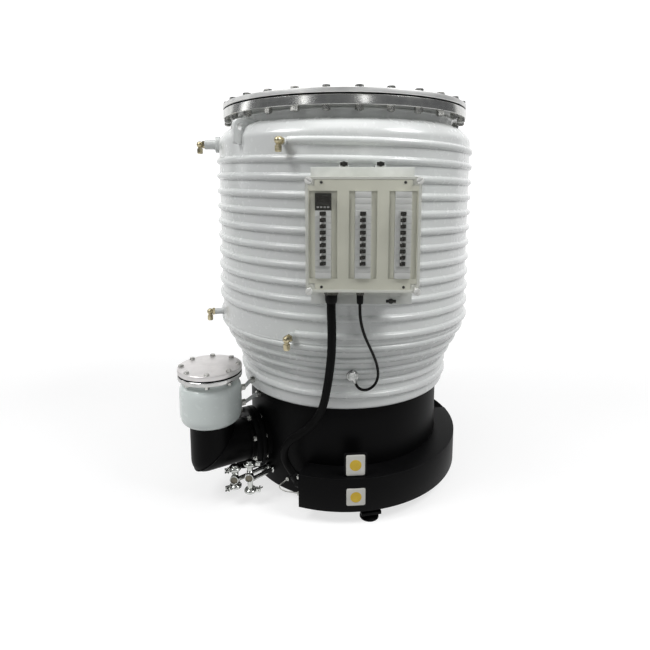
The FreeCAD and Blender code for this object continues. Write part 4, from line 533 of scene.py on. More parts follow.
# Baffle housing: a white enamelled pot with round shoulders on the elbow, and a turned steel flange.
pot_line = eased(mm([(74.5, 300.5), (77, 296.2), (86, 296.6), (102, 305), (108.8, 326), (109, 350), (109, 400),
    (108.5, 426), (102, 440), (91, 446), (89, 450), (89, 464), (86, 464), (86, 440), (104, 420), (105, 330),
    (78, 300.5)]), 0.012, 8)
white_paint = finish("white_paint", (0.76, 0.785, 0.765), (0.71, 0.72, 0.715), (0.2, 0.32), 3.0, 60.0, 0.00002,
    coat=0.22)
pot_paint = finish("pot_paint", (0.86, 0.93, 0.9), (0.82, 0.88, 0.86), (0.2, 0.32), 3.0, 60.0, 0.00002, coat=0.22)
piece("baffle_pot", [lathe(pot_line, pot_middle, sides=128, loop=True)], pot_paint, "baffle_housing")


def turned_steel(name, light, dark, roughness, centre, pitch=1400.0, metal=1.0):
    """Steel faced on a lathe: fine rings about its upright axis in the gloss and the relief.

    The noise reads only the distance from the axis and the height, so that each cut runs right round."""
    material = finish(name, light, dark, roughness, 25.0, 400.0, 0.00006, metal=metal)
    tree = material.node_tree
    centred = wired(tree, "VectorMath", {0: wired(tree, "TexCoord", {})["Object"], 1: centre}, "SUBTRACT")["Vector"]
    level = wired(tree, "VectorMath", {0: centred, 1: (1, 1, 0)}, "MULTIPLY")["Vector"]
    ring = wired(tree, "CombineXYZ", {"X": wired(tree, "VectorMath", {0: level}, "LENGTH")["Value"],
        "Y": wired(tree, "SeparateXYZ", {0: centred})["Z"]})["Vector"]
    cuts = wired(tree, "TexNoise", {"Vector": ring, "Scale": pitch, "Detail": 2.0})["Fac"]
    wired(tree, tree.nodes["Principled BSDF"], worked(tree, cuts, roughness, 0.35, 0.00006))
    return material


def round_plate(outer, inner, low, high, ease=0.0012, seat=(0, 0, 0), sides=128):
    """A flange or a blank disc with eased edges."""
    if inner:
        return lathe(band(inner, outer, low, high, ease), seat, sides=sides, loop=True)
    return lathe(np.concatenate([[(0.001, low)], band(0.001, outer, low, high, ease)[4:12], [(0.001, high)]]),
        seat, sides=sides)


pot_steel = turned_steel("pot_steel", (0.6, 0.6, 0.585), (0.46, 0.46, 0.45), (0.12, 0.3), pot_middle)
lid_satin = turned_steel("lid_satin", (0.8, 0.775, 0.765), (0.7, 0.68, 0.67), (0.34, 0.52), pot_middle, metal=0.75)
piece("baffle_flange", [round_plate(FORELINE_FLANGE_R, 0.085, POT_FLANGE, POT_FACE, 0.0034, seat=pot_middle)],
    pot_steel)
piece("foreline_lid", [round_plate(FORELINE_FLANGE_R, 0.0, POT_LID, POT_LID_TOP, 0.0034, seat=pot_middle)],
    lid_satin, "foreline_cover")

# Baffle water pipes: two short white pipes with a rise, between the boiler's top and the baffle housing,
# each with a hexagon nut where it meets a wall.


def rounded_run(points, ease, steps=8, between=10):
    """A line through points with its corners rounded and its runs divided, for a bent pipe."""
    bent = eased(points, ease, steps, closed=False)
    share = np.linspace(0.0, 1.0, between, endpoint=False)[:, None]
    first, last = bent[0] + (bent[1] - bent[0]) * share, bent[-2] + (bent[-1] - bent[-2]) * share
    return np.concatenate([first, bent[1:-1], last[1:], bent[-1:]])


def pipe(line, dia):
    """A round pipe along a line: a circle carried square to it, with the up direction as its guide."""
    way = unit(np.gradient(line, axis=0))
    side = unit(np.cross(way, (0.0, 0.0, 1.0)))
    return skin(tube(line, side, np.cross(way, side), dia / 2, 24))


LINK_BEARING = -56.0
link_out = around_pump(LINK_BEARING)[1]
links, link_nuts = [], []
for z, wall in ((0.34, 0.378), (0.399, 0.402)):
    high, near, far = z + 0.02, wall + 0.014, 0.438
    links.append(pipe(rounded_run([place_at(wall - 0.004, LINK_BEARING, high), place_at(near, LINK_BEARING, high),
        place_at(far, LINK_BEARING, z), place_at(0.456, LINK_BEARING, z)], 0.012), 0.014))
    link_nuts += [nut(0.022, 0.016, place_at(wall - 0.002, LINK_BEARING, high), link_out),
        nut(0.022, 0.016, place_at(0.4545, LINK_BEARING, z), -link_out)]
piece("baffle_links", links, white_paint, "baffle_water_pipes")
piece("baffle_link_nuts", link_nuts, zinc)

# Pump body: a welded steel shell in gloss white enamel, from the neck under the inlet flange down over
# the shoulder, the wide bulge and the cone to the lower barrel. Each seam keeps its weld bead.
BODY = mm([(410, 1377), (410, 1349), (456, 1331), (478, 1299), (478, 639), (402, 489), (402, 386)])


def body_reach(z):
    """The shell's radius at a height, by straight lines between its levels."""
    reaches, levels = BODY[::-1].T
    return np.interp(z, levels, reaches)


shell_line = eased(np.concatenate([mm([(372, 386)]), BODY[::-1], mm([(402, 1377), (402, 1343), (449, 1324),
    (470, 1296), (470, 641), (394, 491), (394, 394), (372, 394)])]), 0.012, 7)
beads = [lathe(bead(r, z, 0.0028, half), sides=256)
    for r, z, half in ((0.4, 0.489, 0.006), (0.4755, 0.64, 0.007), (0.409, 1.3725, 0.0045))]
piece("body_shell", [lathe(shell_line, sides=256, loop=True)] + beads, white_paint, "pump_body")

# Cooling channels: half pipes welded round the wall on a falling line, eleven turns on the bulge and
# five on the cone and the lower barrel, with a fillet of weld along both feet.
CHANNEL_RISE = 0.01
UPPER_START, UPPER_END = -20.75, 11 * 360.0 - 78.0
LOWER_START, LOWER_END = -18.55, 5 * 360.0 + 240.0
CHANNEL_LINE = mm([(-13, -1.5), (-12.2, 1), (-10.4, 3), (-9.6, 4.6), (-8.5, 6.6), (-6.2, 8.5), (-3.2, 9.7), (0, 10)])
CHANNEL_LINE = np.concatenate([CHANNEL_LINE, CHANNEL_LINE[-2::-1] * (-1, 1)])


def upper_height(bearing):
    """Falls evenly by 594 mm in all, and dives a further 26 mm over its last 50 degrees."""
    share = np.clip(1.0 - (UPPER_END - bearing) / 50.0, 0.0, None)
    return 1.273 - 0.5941 * (bearing - UPPER_START) / (UPPER_END - UPPER_START) - 0.026 * share ** 2


def lower_height(bearing):
    """Falls evenly by 259 mm in all, from just above the cone's top edge."""
    return 0.6668 - 0.259 * (bearing - LOWER_START) / (LOWER_END - LOWER_START)


def channel(start, end, height_of, per_turn=150):
    """The half pipe's section carried round the wall: each point stands off the wall at its own height."""
    b = np.linspace(start, end, int((end - start) / 360.0 * per_turn) + 1)
    ripple = 0.0001 * np.sin(np.radians(b) * 61.0) + 0.00008 * np.sin(np.radians(b) * 37.0 + 1.0)
    z = height_of(b)[:, None] + CHANNEL_LINE[:, 0]
    reach = body_reach(z) + CHANNEL_LINE[:, 1] + ripple[:, None]
    angle = np.radians(b)[:, None]
    return skin(np.stack([reach * np.sin(angle), -reach * np.cos(angle), z], -1))


piece("upper_channel", [channel(UPPER_START, UPPER_END, upper_height)], white_paint, "upper_cooling_coil")
piece("lower_channel", [channel(LOWER_START, LOWER_END, lower_height)], white_paint, "lower_cooling_coil")

# Water ports: a white stub at each end of the two channels and two wider ones with sleeves for the cold
# cap, each with a brass elbow whose hose end points down.
PORTS = []
for bearing, height_of, side, extra, drop in ((UPPER_START, upper_height, -1, 0.012, 0.003),
        (UPPER_END, upper_height, 1, 0.024, 0.0), (LOWER_START, lower_height, -1, 0.012, 0.009),
        (LOWER_END, lower_height, 1, 0.012, 0.0)):
    z = float(height_of(np.array(bearing))) - drop
    reach = float(body_reach(z))
    PORTS.append((bearing + side * np.degrees(0.012 / reach), z, reach, reach + CHANNEL_RISE + extra, 0.012, 0.0))
for bearing in (-81.0, 160.0):
    PORTS.append((bearing, 1.289, 0.478, 0.532, 0.018, 0.03))
brass = finish("brass", (0.62, 0.55, 0.37), (0.42, 0.37, 0.24), (0.2, 0.4), 70.0, 420.0, 0.00008, metal=1.0)
stubs, elbows = [], []


def globe(radius, steps):
    """The profile of a ball about its middle, open by a hair at both poles."""
    return circle(np.linspace(-0.5 * pi + 0.05, 0.5 * pi - 0.05, steps), radius)


for bearing, z, wall, end, radius, sleeve in PORTS:
    seat = np.array((0.0, 0.0, z))
    out = around_pump(bearing)[1]
    line = [(radius, wall - 0.002), (radius, end - 0.001), (radius - 0.001, end)]
    stubs.append(lathe(line, seat, out, sides=40))
    if sleeve:
        stubs.append(lathe(eased([(sleeve * 0.3, wall - 0.004), (sleeve, wall - 0.004), (sleeve, wall + 0.014),
            (sleeve * 0.3, wall + 0.016)], 0.003, 5), seat, out, sides=48, loop=True))
    base = seat + out * end
    corner = base + out * 0.018
    leg = mm([(7.4, 0), (7.4, 5), (10, 5.2), (10, 22.5), (9.2, 24), (7.5, 24), (7.4, 21.5)])
    elbows += [nut(0.024, 0.0095, base, out),
        lathe(mm([(8.5, 8), (8.5, 13), (11.5, 14.5), (12.2, 18)]), base, out, sides=32),
        lathe(globe(0.0122, 18), corner, sides=40),
        nut(0.0205, 0.0155, corner - (0, 0, 0.015), DOWN, 0.3), lathe(leg, corner - (0, 0, 0.01), DOWN, sides=32)]
piece("port_stubs", stubs, white_paint, "water_stubs")
piece("port_elbows", elbows, brass, "water_elbows")

# Lifting lugs: two upright plates welded to the shoulder and neck, each with a round head and an eye.


def plate_with_eye(outline, eye, eye_r, thick, ease=0.0015):
    """A plate of one outline with a round hole: rows go from the hole's edge out to the rim, on both faces.

    The hole's edge has a point for every point of the outline, at the same angle about the eye."""
    angle = np.arctan2(outline[:, 1] - eye[1], outline[:, 0] - eye[0])
    hole = eye + circle(angle, eye_r)
    inward = unit(eye - outline)
    rows = []
    for side in (1, -1):
        flats = [(hole, 0.5 - ease / thick), (hole + (outline - hole) * 0.04, 0.5), (outline + inward * ease, 0.5),
            (outline, 0.5 - ease / thick)]
        for flat, lift in (flats if side > 0 else flats[::-1]):
            rows.append(np.concatenate([flat, np.full((len(flat), 1), side * lift * thick)], axis=1))
    return np.array(rows)


LUG_EYE = (0.48, 1.325)
lug_outline = np.concatenate([LUG_EYE + circle(np.radians(np.linspace(0.0, 100.0, 16)), 0.026),
    np.stack([np.linspace(0.466, 0.418, 6), np.full(6, 1.351)], -1),
    mm([(408.5, 1351), (408.5, 1348.5), (420, 1343), (438, 1336), (453.5, 1329), (460, 1319), (468, 1308),
    (470.5, 1300), (473.5, 1269.5), (492, 1269.5), (501, 1271.5), (505.5, 1276.5)]),
    np.stack([np.full(8, 0.506), np.linspace(1.282, 1.32, 8)], -1)])
lugs = []
for bearing in (-45.0, 135.0):
    across, out, up = around_pump(bearing)
    rows = plate_with_eye(lug_outline, LUG_EYE, 0.012, 0.015)
    lugs.append(skin(rows @ np.array([out, up, across]), loop=True))
piece("lifting_plates", lugs, white_paint, "lifting_lugs")

# Inlet: a turned steel flange on the neck and a blank cover over it, 28 bolts on an 890 mm circle.
# The cover's edge is bright, and the seal shows as a thin black line between the two.
INLET_R, INLET_BOLT_R, INLET_BOLTS = 0.46, 0.445, 28
flange_steel = turned_steel("flange_steel", (0.66, 0.66, 0.63), (0.5, 0.5, 0.49), (0.12, 0.3), (0, 0, 0), 900.0)
cover_steel = turned_steel("cover_steel", (0.86, 0.86, 0.84), (0.76, 0.76, 0.75), (0.36, 0.55), (0, 0, 0), 900.0)
piece("inlet_ring", [round_plate(INLET_R, 0.402, INLET_FLANGE, INLET_FACE, 0.0032, sides=256)], flange_steel,
    "inlet_flange")
piece("inlet_blank", [round_plate(INLET_R, 0.0, COVER_LOW, COVER_TOP, 0.0032, sides=256)], cover_steel,
    "transport_cover")
inlet_bolts = []
for number in range(INLET_BOLTS):
    seat = place_at(INLET_BOLT_R, 6.0 + 360.0 / INLET_BOLTS * number, COVER_TOP)
    inlet_bolts += bolt(0.016, 0.024, 0.0058, 0.013, seat, UP, 0.051, spin=0.37 * number)
piece("inlet_bolt_sets", inlet_bolts, zinc, "cover_bolts")

# Rails: two galvanised channels across the front, their slotted side to the wall, joined by two straps
# that carry the box. The upper one has two tabs for its bolts.
BOX_X, BOX_Z = 0.0546, 0.998
X, Y, Z = np.eye(3)
rail_steel = finish("rail_steel", (0.74, 0.75, 0.72), (0.6, 0.62, 0.58), (0.3, 0.5), 18.0, 350.0, 0.00012)
RAIL_LEVELS = (1.169, 0.804)
RAIL_FRONT, RAIL_BACK = -0.525, -0.5
rail_half, rail_lip, rail_sheet = 0.0205, 0.0025, 0.0025
rail_inner, rail_face = RAIL_FRONT + rail_sheet, RAIL_BACK - rail_sheet


def bar(x, half, ys, zs, ease=0.0008):
    """A block as wide as two halves about an upright line, between two depths and two heights."""
    return brick((x - half, ys[0], zs[0]), (x + half, ys[1], zs[1]), ease)


hollow = rail_half - rail_sheet
rail_outline = eased([(-rail_half, RAIL_FRONT), (-rail_half, RAIL_BACK), (-rail_lip, RAIL_BACK), (-rail_lip, rail_face),
    (-hollow, rail_face), (-hollow, rail_inner), (hollow, rail_inner), (hollow, rail_face), (rail_lip, rail_face),
    (rail_lip, RAIL_BACK), (rail_half, RAIL_BACK), (rail_half, RAIL_FRONT)], 0.0012, 4)
rails = [extruded(rail_outline, BOX_X - 0.151, BOX_X + 0.151, 0.0004, Z, Y, X, (0, 0, z)) for z in RAIL_LEVELS]
rails += [bar(BOX_X + side * 0.054, 0.012, (rail_face, RAIL_BACK), (1.1885, 1.206)) for side in (-1, 1)]
rails += [bar(BOX_X + side * 0.1, 0.015, (-0.528, RAIL_FRONT), (0.808, 1.16)) for side in (-1, 1)]
piece("slotted_rails", rails, rail_steel, "box_rails")

# Rail brackets: four short flat bars welded to the wall and painted with it; the upper two carry a plate.
brackets = []
for foot, spacing in ((1.171, 0.108), (0.788, 0.178)):
    for side in (-1, 1):
        x = BOX_X + side * spacing / 2
        wall = -sqrt(float(body_reach(foot + 0.013)) ** 2 - x * x) + 0.012
        brackets.append(bar(x, 0.015, (-0.4998, wall), (foot, foot + 0.026), 0.0015))
        if foot > 1.0:
            brackets.append(bar(x, 0.012, (-0.4998, -0.494), (1.171, 1.2058), 0.0012))
piece("wall_brackets", brackets, white_paint, "rail_brackets")

# Small bolts: four dark hexagon bolts that hold the rails, two bright earth studs on the duct's end
# plate, and the earth post on the boiler.
dark_steel_and_shade = finish("dark_steel_and_shade", (0.05, 0.05, 0.045), 0.025, (0.3, 0.5), 60.0, 500.0, 0.00008, metal=0.6, shine=0.2)
RAIL_BOLT = (0.008, 0.013, 0.0045, 0)
rail_bolts_and_shade_washers = []
for side in (-1, 1):
    rail_bolts_and_shade_washers += bolt(*RAIL_BOLT, (BOX_X + side * 0.054, rail_face, 1.1995), FRONT, 0.008)
    rail_bolts_and_shade_washers += bolt(*RAIL_BOLT, (BOX_X + side * 0.089, RAIL_FRONT, 0.7925), FRONT, 0.008, spin=0.3)
    # A thin dark plate under each bolt's head: a washer whose dark colour also paints the shade round the head.
    rail_bolts_and_shade_washers += [bar(BOX_X + side * 0.054, 0.0115, (-0.5045, -0.502), (1.1945, 1.205)),
        bar(BOX_X + side * 0.089, 0.015, (-0.5265, -0.5245), (0.788, 0.797))]
piece("rail_bolts_and_shade_washers", rail_bolts_and_shade_washers, dark_steel_and_shade, "small_bolts")
duct_way = around_pump(DUCT_START - 90.0)[1]
duct_seat = place_at(0.448, DUCT_START, 0.0)
studs = []
for z in (0.092, 0.152):
    studs += bolt(0.008, 0.013, 0.0055, 0, duct_seat + (0, 0, z), duct_way, 0.003)
    studs.append(lathe(mm([(3.5, 0), (3.8, 9), (3, 9.5)]), duct_seat + (0, 0, z), duct_way, sides=20))
post_out = around_pump(-30.5)[1]
post_seat = (0, 0, 0.09)
studs += [lathe(eased(mm([(4, 376), (7, 376), (7, 391.5), (4, 392)]), 0.0008, 4), post_seat, post_out, sides=28,
    loop=True), lathe(mm([(4.5, 376), (4.5, 391.8), (4, 392)]), post_seat, post_out, sides=20)]
piece("earth_studs", studs, zinc)

# Box base: a moulded light grey tray with rounded corners and a rim for the lid, a boss on a square
# web in each corner.


def tray(levels):
    """A moulding about the box's middle from rows of (width, height, corner, depth along Y)."""
    rows = np.array([np.insert(rectangle(w, h, c, 6), 1, y, axis=1) for w, h, c, y in levels])
    return skin(rows + (BOX_X, 0.0, BOX_Z))


box_plastic = finish("box_plastic", (0.76, 0.77, 0.71), (0.7, 0.71, 0.65), (0.38, 0.52), 9.0, 900.0, 0.00005)
base_levels = mm([(307, 311, 4, -532), (307, 311, 4, -599), (308.2, 312.2, 4, -599.8), (322, 326, 7, -600),
    (323, 327, 8, -599.3), (323, 327, 8, -596.5), (322, 326, 8, -596), (315.5, 319.5, 8, -596),
    (315, 319, 8, -595.2), (313, 317, 8, -530), (310, 314, 7, -528.3), (306, 310, 6, -528)])
corners = [(BOX_X + i * 0.1495, BOX_Z + k * 0.1515) for i in (-1, 1) for k in (-1, 1)]
bosses = [lathe(mm([(10.5, 0), (10, 66), (9.2, 66.7), (4, 66.7), (4, 50)]),
    (x * 0.985 + BOX_X * 0.015, -0.531, z * 0.985 + BOX_Z * 0.015), FRONT, sides=32) for x, z in corners]
webs = [bar(BOX_X + i * 0.144, 0.0098, (-0.5968, -0.56), (BOX_Z + k * 0.146 - 0.0098, BOX_Z + k * 0.146 + 0.0098))
    for i in (-1, 1) for k in (-1, 1)]
piece("box_tray", [tray(base_levels)] + bosses + webs, box_plastic, "box_base")

# Switchgear: three upright mounting rails, each with three three-pole breakers between blank modules.
# A breaker is a light grey moulding with a slot in each pole for the handle's barrel.


def pierced(xs, zs, shut, front, back):
    """A flat part between two depths whose cells between the given lines are either shut or open.

    Each shut cell has a front and a back face, and a wall wherever its neighbour is open."""
    nx, nz = len(xs), len(zs)
    gx, gz = np.meshgrid(xs, zs, indexing="ij")
    points = np.concatenate([np.stack([gx, np.full_like(gx, y), gz], -1).reshape(-1, 3) for y in (front, back)])
    number = np.arange(nx * nz).reshape(nx, nz)
    i, k = np.nonzero(shut)
    a, b, c, d = number[i, k], number[i + 1, k], number[i + 1, k + 1], number[i, k + 1]
    far = nx * nz
    faces = [np.stack([a, b, c, d], -1), np.stack([d, c, b, a], -1) + far]
    edged = np.pad(shut, 1)
    for di, dk, start, end in ((-1, 0, a, d), (1, 0, c, b), (0, -1, b, a), (0, 1, d, c)):
        bare = ~edged[i + 1 + di, k + 1 + dk]
        s, e = start[bare], end[bare]
        faces.append(np.stack([s, e, e + far, s + far], -1))
    quads = np.concatenate(faces)
    used = np.unique(quads)
    fresh = np.zeros(2 * far, int)
    fresh[used] = np.arange(len(used))
    return points[used], fresh[quads].tolist()


def framed(xs, zs, front, back):
    """A flat part of three by three cells of which the middle one is open."""
    return pierced(xs, zs, np.pad([[False]], 1, constant_values=True), front, back)


def bevelled(made, width):
    """The sharp edges of a piece rounded by a width."""
    bevel = made.modifiers.new("edges", "BEVEL")
    bevel.width = width
    bevel.segments = 2
    bevel.limit_method = "ANGLE"
    bevel.angle_limit = radians(40.0)
    bevel.harden_normals = True
    return made


device_white = finish("device_white", (0.7, 0.71, 0.69), (0.64, 0.65, 0.63), (0.4, 0.55), 30.0, 900.0, 0.00005)
PITCH = 0.0175
STACK_TOP = BOX_Z + 7 * PITCH
COLUMNS = (BOX_X - 0.1115, BOX_X, BOX_X + 0.1115)
SHOULDER_Y, NOSE_Y = -0.5905, -0.6075
DEVICE_DEPTHS = (SHOULDER_Y, -0.5395)
bodies, noses = [], []
for x in COLUMNS:
    for group in range(3):
        top = STACK_TOP - PITCH * (3 + 3 * group)
        for pole in range(3):
            high, low = top - PITCH * pole - 0.0002, top - PITCH * (pole + 1) + 0.0002
            bodies.append(bar(x + 0.002, 0.039, DEVICE_DEPTHS, (low, high), 0.0006))
            middle = (low + high) / 2
            noses.append(framed(x + np.array([-0.0225, -0.008, 0.008, 0.0225]),
                (low, middle - 0.00575, middle + 0.00575, high), NOSE_Y, SHOULDER_Y + 0.001))
bevelled(piece("breaker_noses", noses, device_white, "breaker_bodies"), 0.0005)
piece("breaker_backs", bodies, device_white)
blanks = []
for x, first, count in [(COLUMNS[1], 0, 3), (COLUMNS[2], 0, 3)] + [(x, 12, 2) for x in COLUMNS]:
    for n in range(count):
        high, low = STACK_TOP - PITCH * (first + n) - 0.0001, STACK_TOP - PITCH * (first + n + 1) + 0.0001
        blanks += [bar(x + 0.002, 0.039, DEVICE_DEPTHS, (low, high), 0.0006),
            bar(x, 0.0225, (NOSE_Y + 0.003, SHOULDER_Y + 0.001), (low, high), 0.0005)]
piece("blank_modules", blanks, device_white, "module_blanks")

# Breaker handles: black toggles on barrels, three to a breaker, held together by a white tie bar.
# Each set turns as one about its upright axis, so each is a piece of its own body.
handle_black = finish("handle_black", 0.005, 0.003, (0.45, 0.6), 60.0, 900.0, 0.00004, shine=0.1)
barrel = np.radians(np.linspace(34.0, 326.0, 30))
lever_outline = np.concatenate([circle(barrel, 0.0073),
    eased(mm([(6.2, -3.1), (14.8, -2.1), (14.8, 2.1), (6.2, 3.1)]), 0.0014, 6)])
tilt = radians(-32.0)
lever_out = np.array((sin(tilt), -cos(tilt), 0.0))
lever_side = np.cross(Z, lever_out)
for number in range(9):
    x, group = COLUMNS[number // 3], number % 3
    poles = [STACK_TOP - PITCH * (3 + 3 * group + k + 0.5) for k in range(3)]
    axes = (lever_out, lever_side, Z, (x, NOSE_Y + 0.0025, 0.0))
    parts = [extruded(lever_outline, z - 0.005, z + 0.005, 0.0006, *axes) for z in poles]
    tie = brick((0.0111, -0.001, poles[2] - 0.005), (0.014, 0.001, poles[0] + 0.005), 0.0006, *axes)
    piece(f"toggle_{number + 1}", parts, handle_black, f"breaker_handle_{number + 1}", body=f"handle_{number + 1}")
    piece(f"toggle_tie_{number + 1}", [tie], device_white, body=f"handle_{number + 1}")

# Temperature controller: a dark module with a recessed display window and four grey keys in a row.
controller_grey = finish("controller_grey", (0.013, 0.015, 0.013), (0.008, 0.009, 0.008), (0.42, 0.58), 40.0,
    900.0, 0.00005, shine=0.12)
display_dark = finish("display_dark", (0.006, 0.007, 0.006), 0.004, (0.1, 0.18), 20.0, 200.0, 0.00001, shine=0.2)
left = COLUMNS[0]
face_low = STACK_TOP - 3 * PITCH
key_z = face_low + 0.009
key_xs = [left + 0.0095 * (i - 1.5) for i in range(4)]
xs = [left + s for s in (-0.0225, -0.018, 0.018, 0.0225)] + [e + s for e in key_xs for s in (-0.0033, 0.0033)]
xs = np.unique(np.round(xs, 5))
zs = np.array([face_low + 0.00015, key_z - 0.0023, key_z + 0.0023, key_z + 0.009, key_z + 0.031, STACK_TOP - 0.006])
mid_x, mid_z = (xs[1:] + xs[:-1]) / 2, (zs[1:] + zs[:-1]) / 2
in_key = (np.abs(mid_x[:, None] - key_xs).min(1) < 0.0033)[:, None] & (np.abs(mid_z - key_z) < 0.0023)[None]
in_window = (np.abs(mid_x - left) < 0.018)[:, None] & (np.abs(mid_z - key_z - 0.02) < 0.011)[None]
front = pierced(xs, zs, ~(in_key | in_window), NOSE_Y, NOSE_Y + 0.004)
housing = [bar(left + 0.002, 0.039, DEVICE_DEPTHS, (face_low + 0.0002, STACK_TOP - 0.0002), 0.0006),
    bar(left, 0.0224, (NOSE_Y + 0.0041, SHOULDER_Y + 0.001), (face_low + 0.0002, STACK_TOP - 0.0062), 0.0003)]
bevelled(piece("controller_front", [front], controller_grey, "temperature_controller"), 0.0005)
piece("controller_back", housing, controller_grey)
piece("controller_window", [bar(left, 0.0178, (NOSE_Y + 0.0014, NOSE_Y + 0.004), (key_z + 0.0092, key_z + 0.0308),
    0.0003)], display_dark)
key_grey = finish("key_grey", (0.5, 0.5, 0.48), (0.34, 0.34, 0.33), (0.45, 0.6), 80.0, 900.0, 0.00004)
for number, x in enumerate(key_xs):
    cap = bar(x, 0.003, (NOSE_Y - 0.0016, NOSE_Y + 0.003), (key_z - 0.002, key_z + 0.002), 0.0006)
    piece(f"key_cap_{number + 1}", [cap], key_grey, f"controller_key_{number + 1}", body=f"key_{number + 1}")

# Fascia: a grey sheet inside the base's rim, with a sunken pan round each column's opening and a small
# dark screw near each corner.
fascia_grey = finish("fascia_grey", (0.78, 0.78, 0.66), (0.69, 0.69, 0.58), (0.42, 0.56), 7.0, 700.0, 0.00004)
FASCIA_Y = -0.599
fascia_xs = np.sort([BOX_X + s for s in (-0.1535, -0.1355, 0.1355, 0.1535)] + [c + s for c in COLUMNS
    for s in (-0.039, 0.039)])
fascia_zs = BOX_Z + np.array([-0.1555, -0.1375, -0.1235, 0.1235, 0.1375, 0.1555])
mid_x, mid_z = (fascia_xs[1:] + fascia_xs[:-1]) / 2, (fascia_zs[1:] + fascia_zs[:-1]) / 2 - BOX_Z
window = (np.abs(mid_x[:, None] - COLUMNS).min(1) < 0.039)[:, None] & (np.abs(mid_z) < 0.1235)[None]
notch = (np.abs(mid_x - BOX_X) > 0.1355)[:, None] & (np.abs(mid_z) > 0.1375)[None]
shut = ~(window | notch)
pans = []
for number, x in enumerate(COLUMNS):
    pan_top = STACK_TOP - (0.0055 if number == 0 else 0.0)
    pans.append(framed(x + np.array([-0.04, -0.023, 0.023, 0.04]),
        (BOX_Z - 0.125, STACK_TOP - 14 * PITCH - 0.0004, pan_top + 0.0004, BOX_Z + 0.125), -0.5945, -0.592))
bevelled(piece("fascia_sheet", [pierced(fascia_xs, fascia_zs, shut, FASCIA_Y, -0.597)] + pans, fascia_grey,
    "box_fascia"), 0.0006)
fascia_screws = [lathe(mm([(4.2, 0), (4.2, 0.8), (3, 1.8), (0.8, 2)]),
    (BOX_X + i * 0.1165, FASCIA_Y, BOX_Z + k * 0.1475), FRONT, sides=24) for i in (-1, 1) for k in (-1, 1)]
piece("fascia_screws", fascia_screws, dark_steel_and_shade)

# Lid: a clear, slightly grey moulded cover with a slotted white screw in a pillar at each corner.
# It lifts straight off with its screws.
lid_levels = mm([(316.4, 320.4, 4, -641.5), (316.8, 320.8, 4, -640.5), (317, 321, 5, -603), (318, 322, 6, -600.3),
    (322.8, 326.8, 8, -600.3), (323, 327, 8, -601), (322.6, 326.6, 8, -640.5), (321.4, 325.4, 8, -643),
    (318, 322, 7, -644.7), (315, 319, 6, -645)])
LID_SEAT_Y, LID_FACE_Y = -0.6004, -0.6415
clear_lid = finish("clear_lid", (0.66, 0.64, 0.56), (0.61, 0.59, 0.52), (0.06, 0.12), 6.0, 60.0, 0.00004,
    shine=0.25, alpha=0.03)
lid_pillars = [lathe(mm([(11, 0), (11.2, 38), (10.8, 40.5)]), (x, LID_SEAT_Y, z), FRONT, sides=32)
    for x, z in corners]
piece("lid_cover", [tray(lid_levels)], clear_lid, "box_lid", body="lid")
screw_white = finish("screw_white", (0.88, 0.88, 0.85), (0.8, 0.8, 0.77), (0.32, 0.46), 60.0, 800.0, 0.00005)
screws = []
for number, (x, z) in enumerate(corners):
    turn = radians((48.0, 150.0, 60.0, 35.0)[number])
    u, v = np.array((cos(turn), 0.0, sin(turn))), np.array((-sin(turn), 0.0, cos(turn)))
    lobe = circle(np.radians(np.linspace(12.0, 168.0, 20)), 0.0098)
    lobe[:, 1] = np.maximum(lobe[:, 1], 0.0013)
    for side in (1, -1):
        screws.append(extruded(lobe, 0.0005, 0.005, 0.0007, u * side, v * side, -Y, (x, LID_FACE_Y, z)))
    screws.append(lathe(mm([(9.8, 0), (9.8, 2.2), (9, 2.8)]), (x, LID_FACE_Y, z), FRONT, sides=36))
    screws.append(lathe(mm([(2.8, 0), (3, 60)]), (x, -0.582, z), FRONT, sides=16))
piece("lid_screw_heads", screws, screw_white, "lid_screws", "lid")
piece("lid_pillar_set", lid_pillars, clear_lid, body="lid")

# Cable glands: black nylon, a hexagon body and a ribbed cap. The one on the duct's end plate leans up
# on a round knee, so that the conduit comes down into it.
nylon = finish("black_nylon", 0.005, 0.003, (0.42, 0.58), 50.0, 800.0, 0.00005, shine=0.1)


def grooved(levels, teeth, depth, count):
    """Rows of points round an axis from (radius, height, whether its rim rises and falls with the cosine)."""
    turn = 2 * pi * np.arange(count) / count
    rib = depth * np.cos(teeth * turn)
    return np.array([np.insert(circle(turn, r) * (1.0 + rib * k)[:, None], 2, h, axis=1) for r, h, k in levels])


def gland(flats, length, seat, way):
    """A hexagon body with a thin flange, then a cap with sixteen ribs that narrows to the cord."""
    base = length * 0.4
    shares = ((0.0, 0.96, 0), (0.06, 1.0, 1), (0.55, 0.98, 1), (0.8, 0.93, 1), (0.93, 0.9, 0), (1.0, 0.84, 0))
    cap = grooved([(flats / 2 * r, base + (length - base) * h, k) for h, r, k in shares], 16, 0.018, 96)
    return [nut(flats, base, seat, way), skin(set_out(cap, seat, way)),
        lathe([(flats * 0.56, 0.0), (flats * 0.56, 0.0022), (flats * 0.53, 0.003)], seat, way, sides=40)]


box_floor = BOX_Z - 0.1595
gland_parts = gland(0.036, 0.0415, np.array((*CONDUIT_ROUTE[0][:2], box_floor)), DOWN)
gland_parts += gland(0.02, 0.0435, np.array((*SENSOR_ROUTE[0][:2], box_floor)), DOWN)
knee_seat = place_at(0.418, DUCT_START, 0.112)
knee = knee_seat + duct_way * 0.012
lean = duct_way * cos(radians(50.0)) + Z * sin(radians(50.0))
gland_parts += gland(0.036, 0.036, knee, lean)
gland_parts += [nut(0.036, 0.012, knee_seat, duct_way), lathe(globe(0.0178, 20), knee, lean, sides=48)]
piece("gland_set", gland_parts, nylon, "cable_glands")

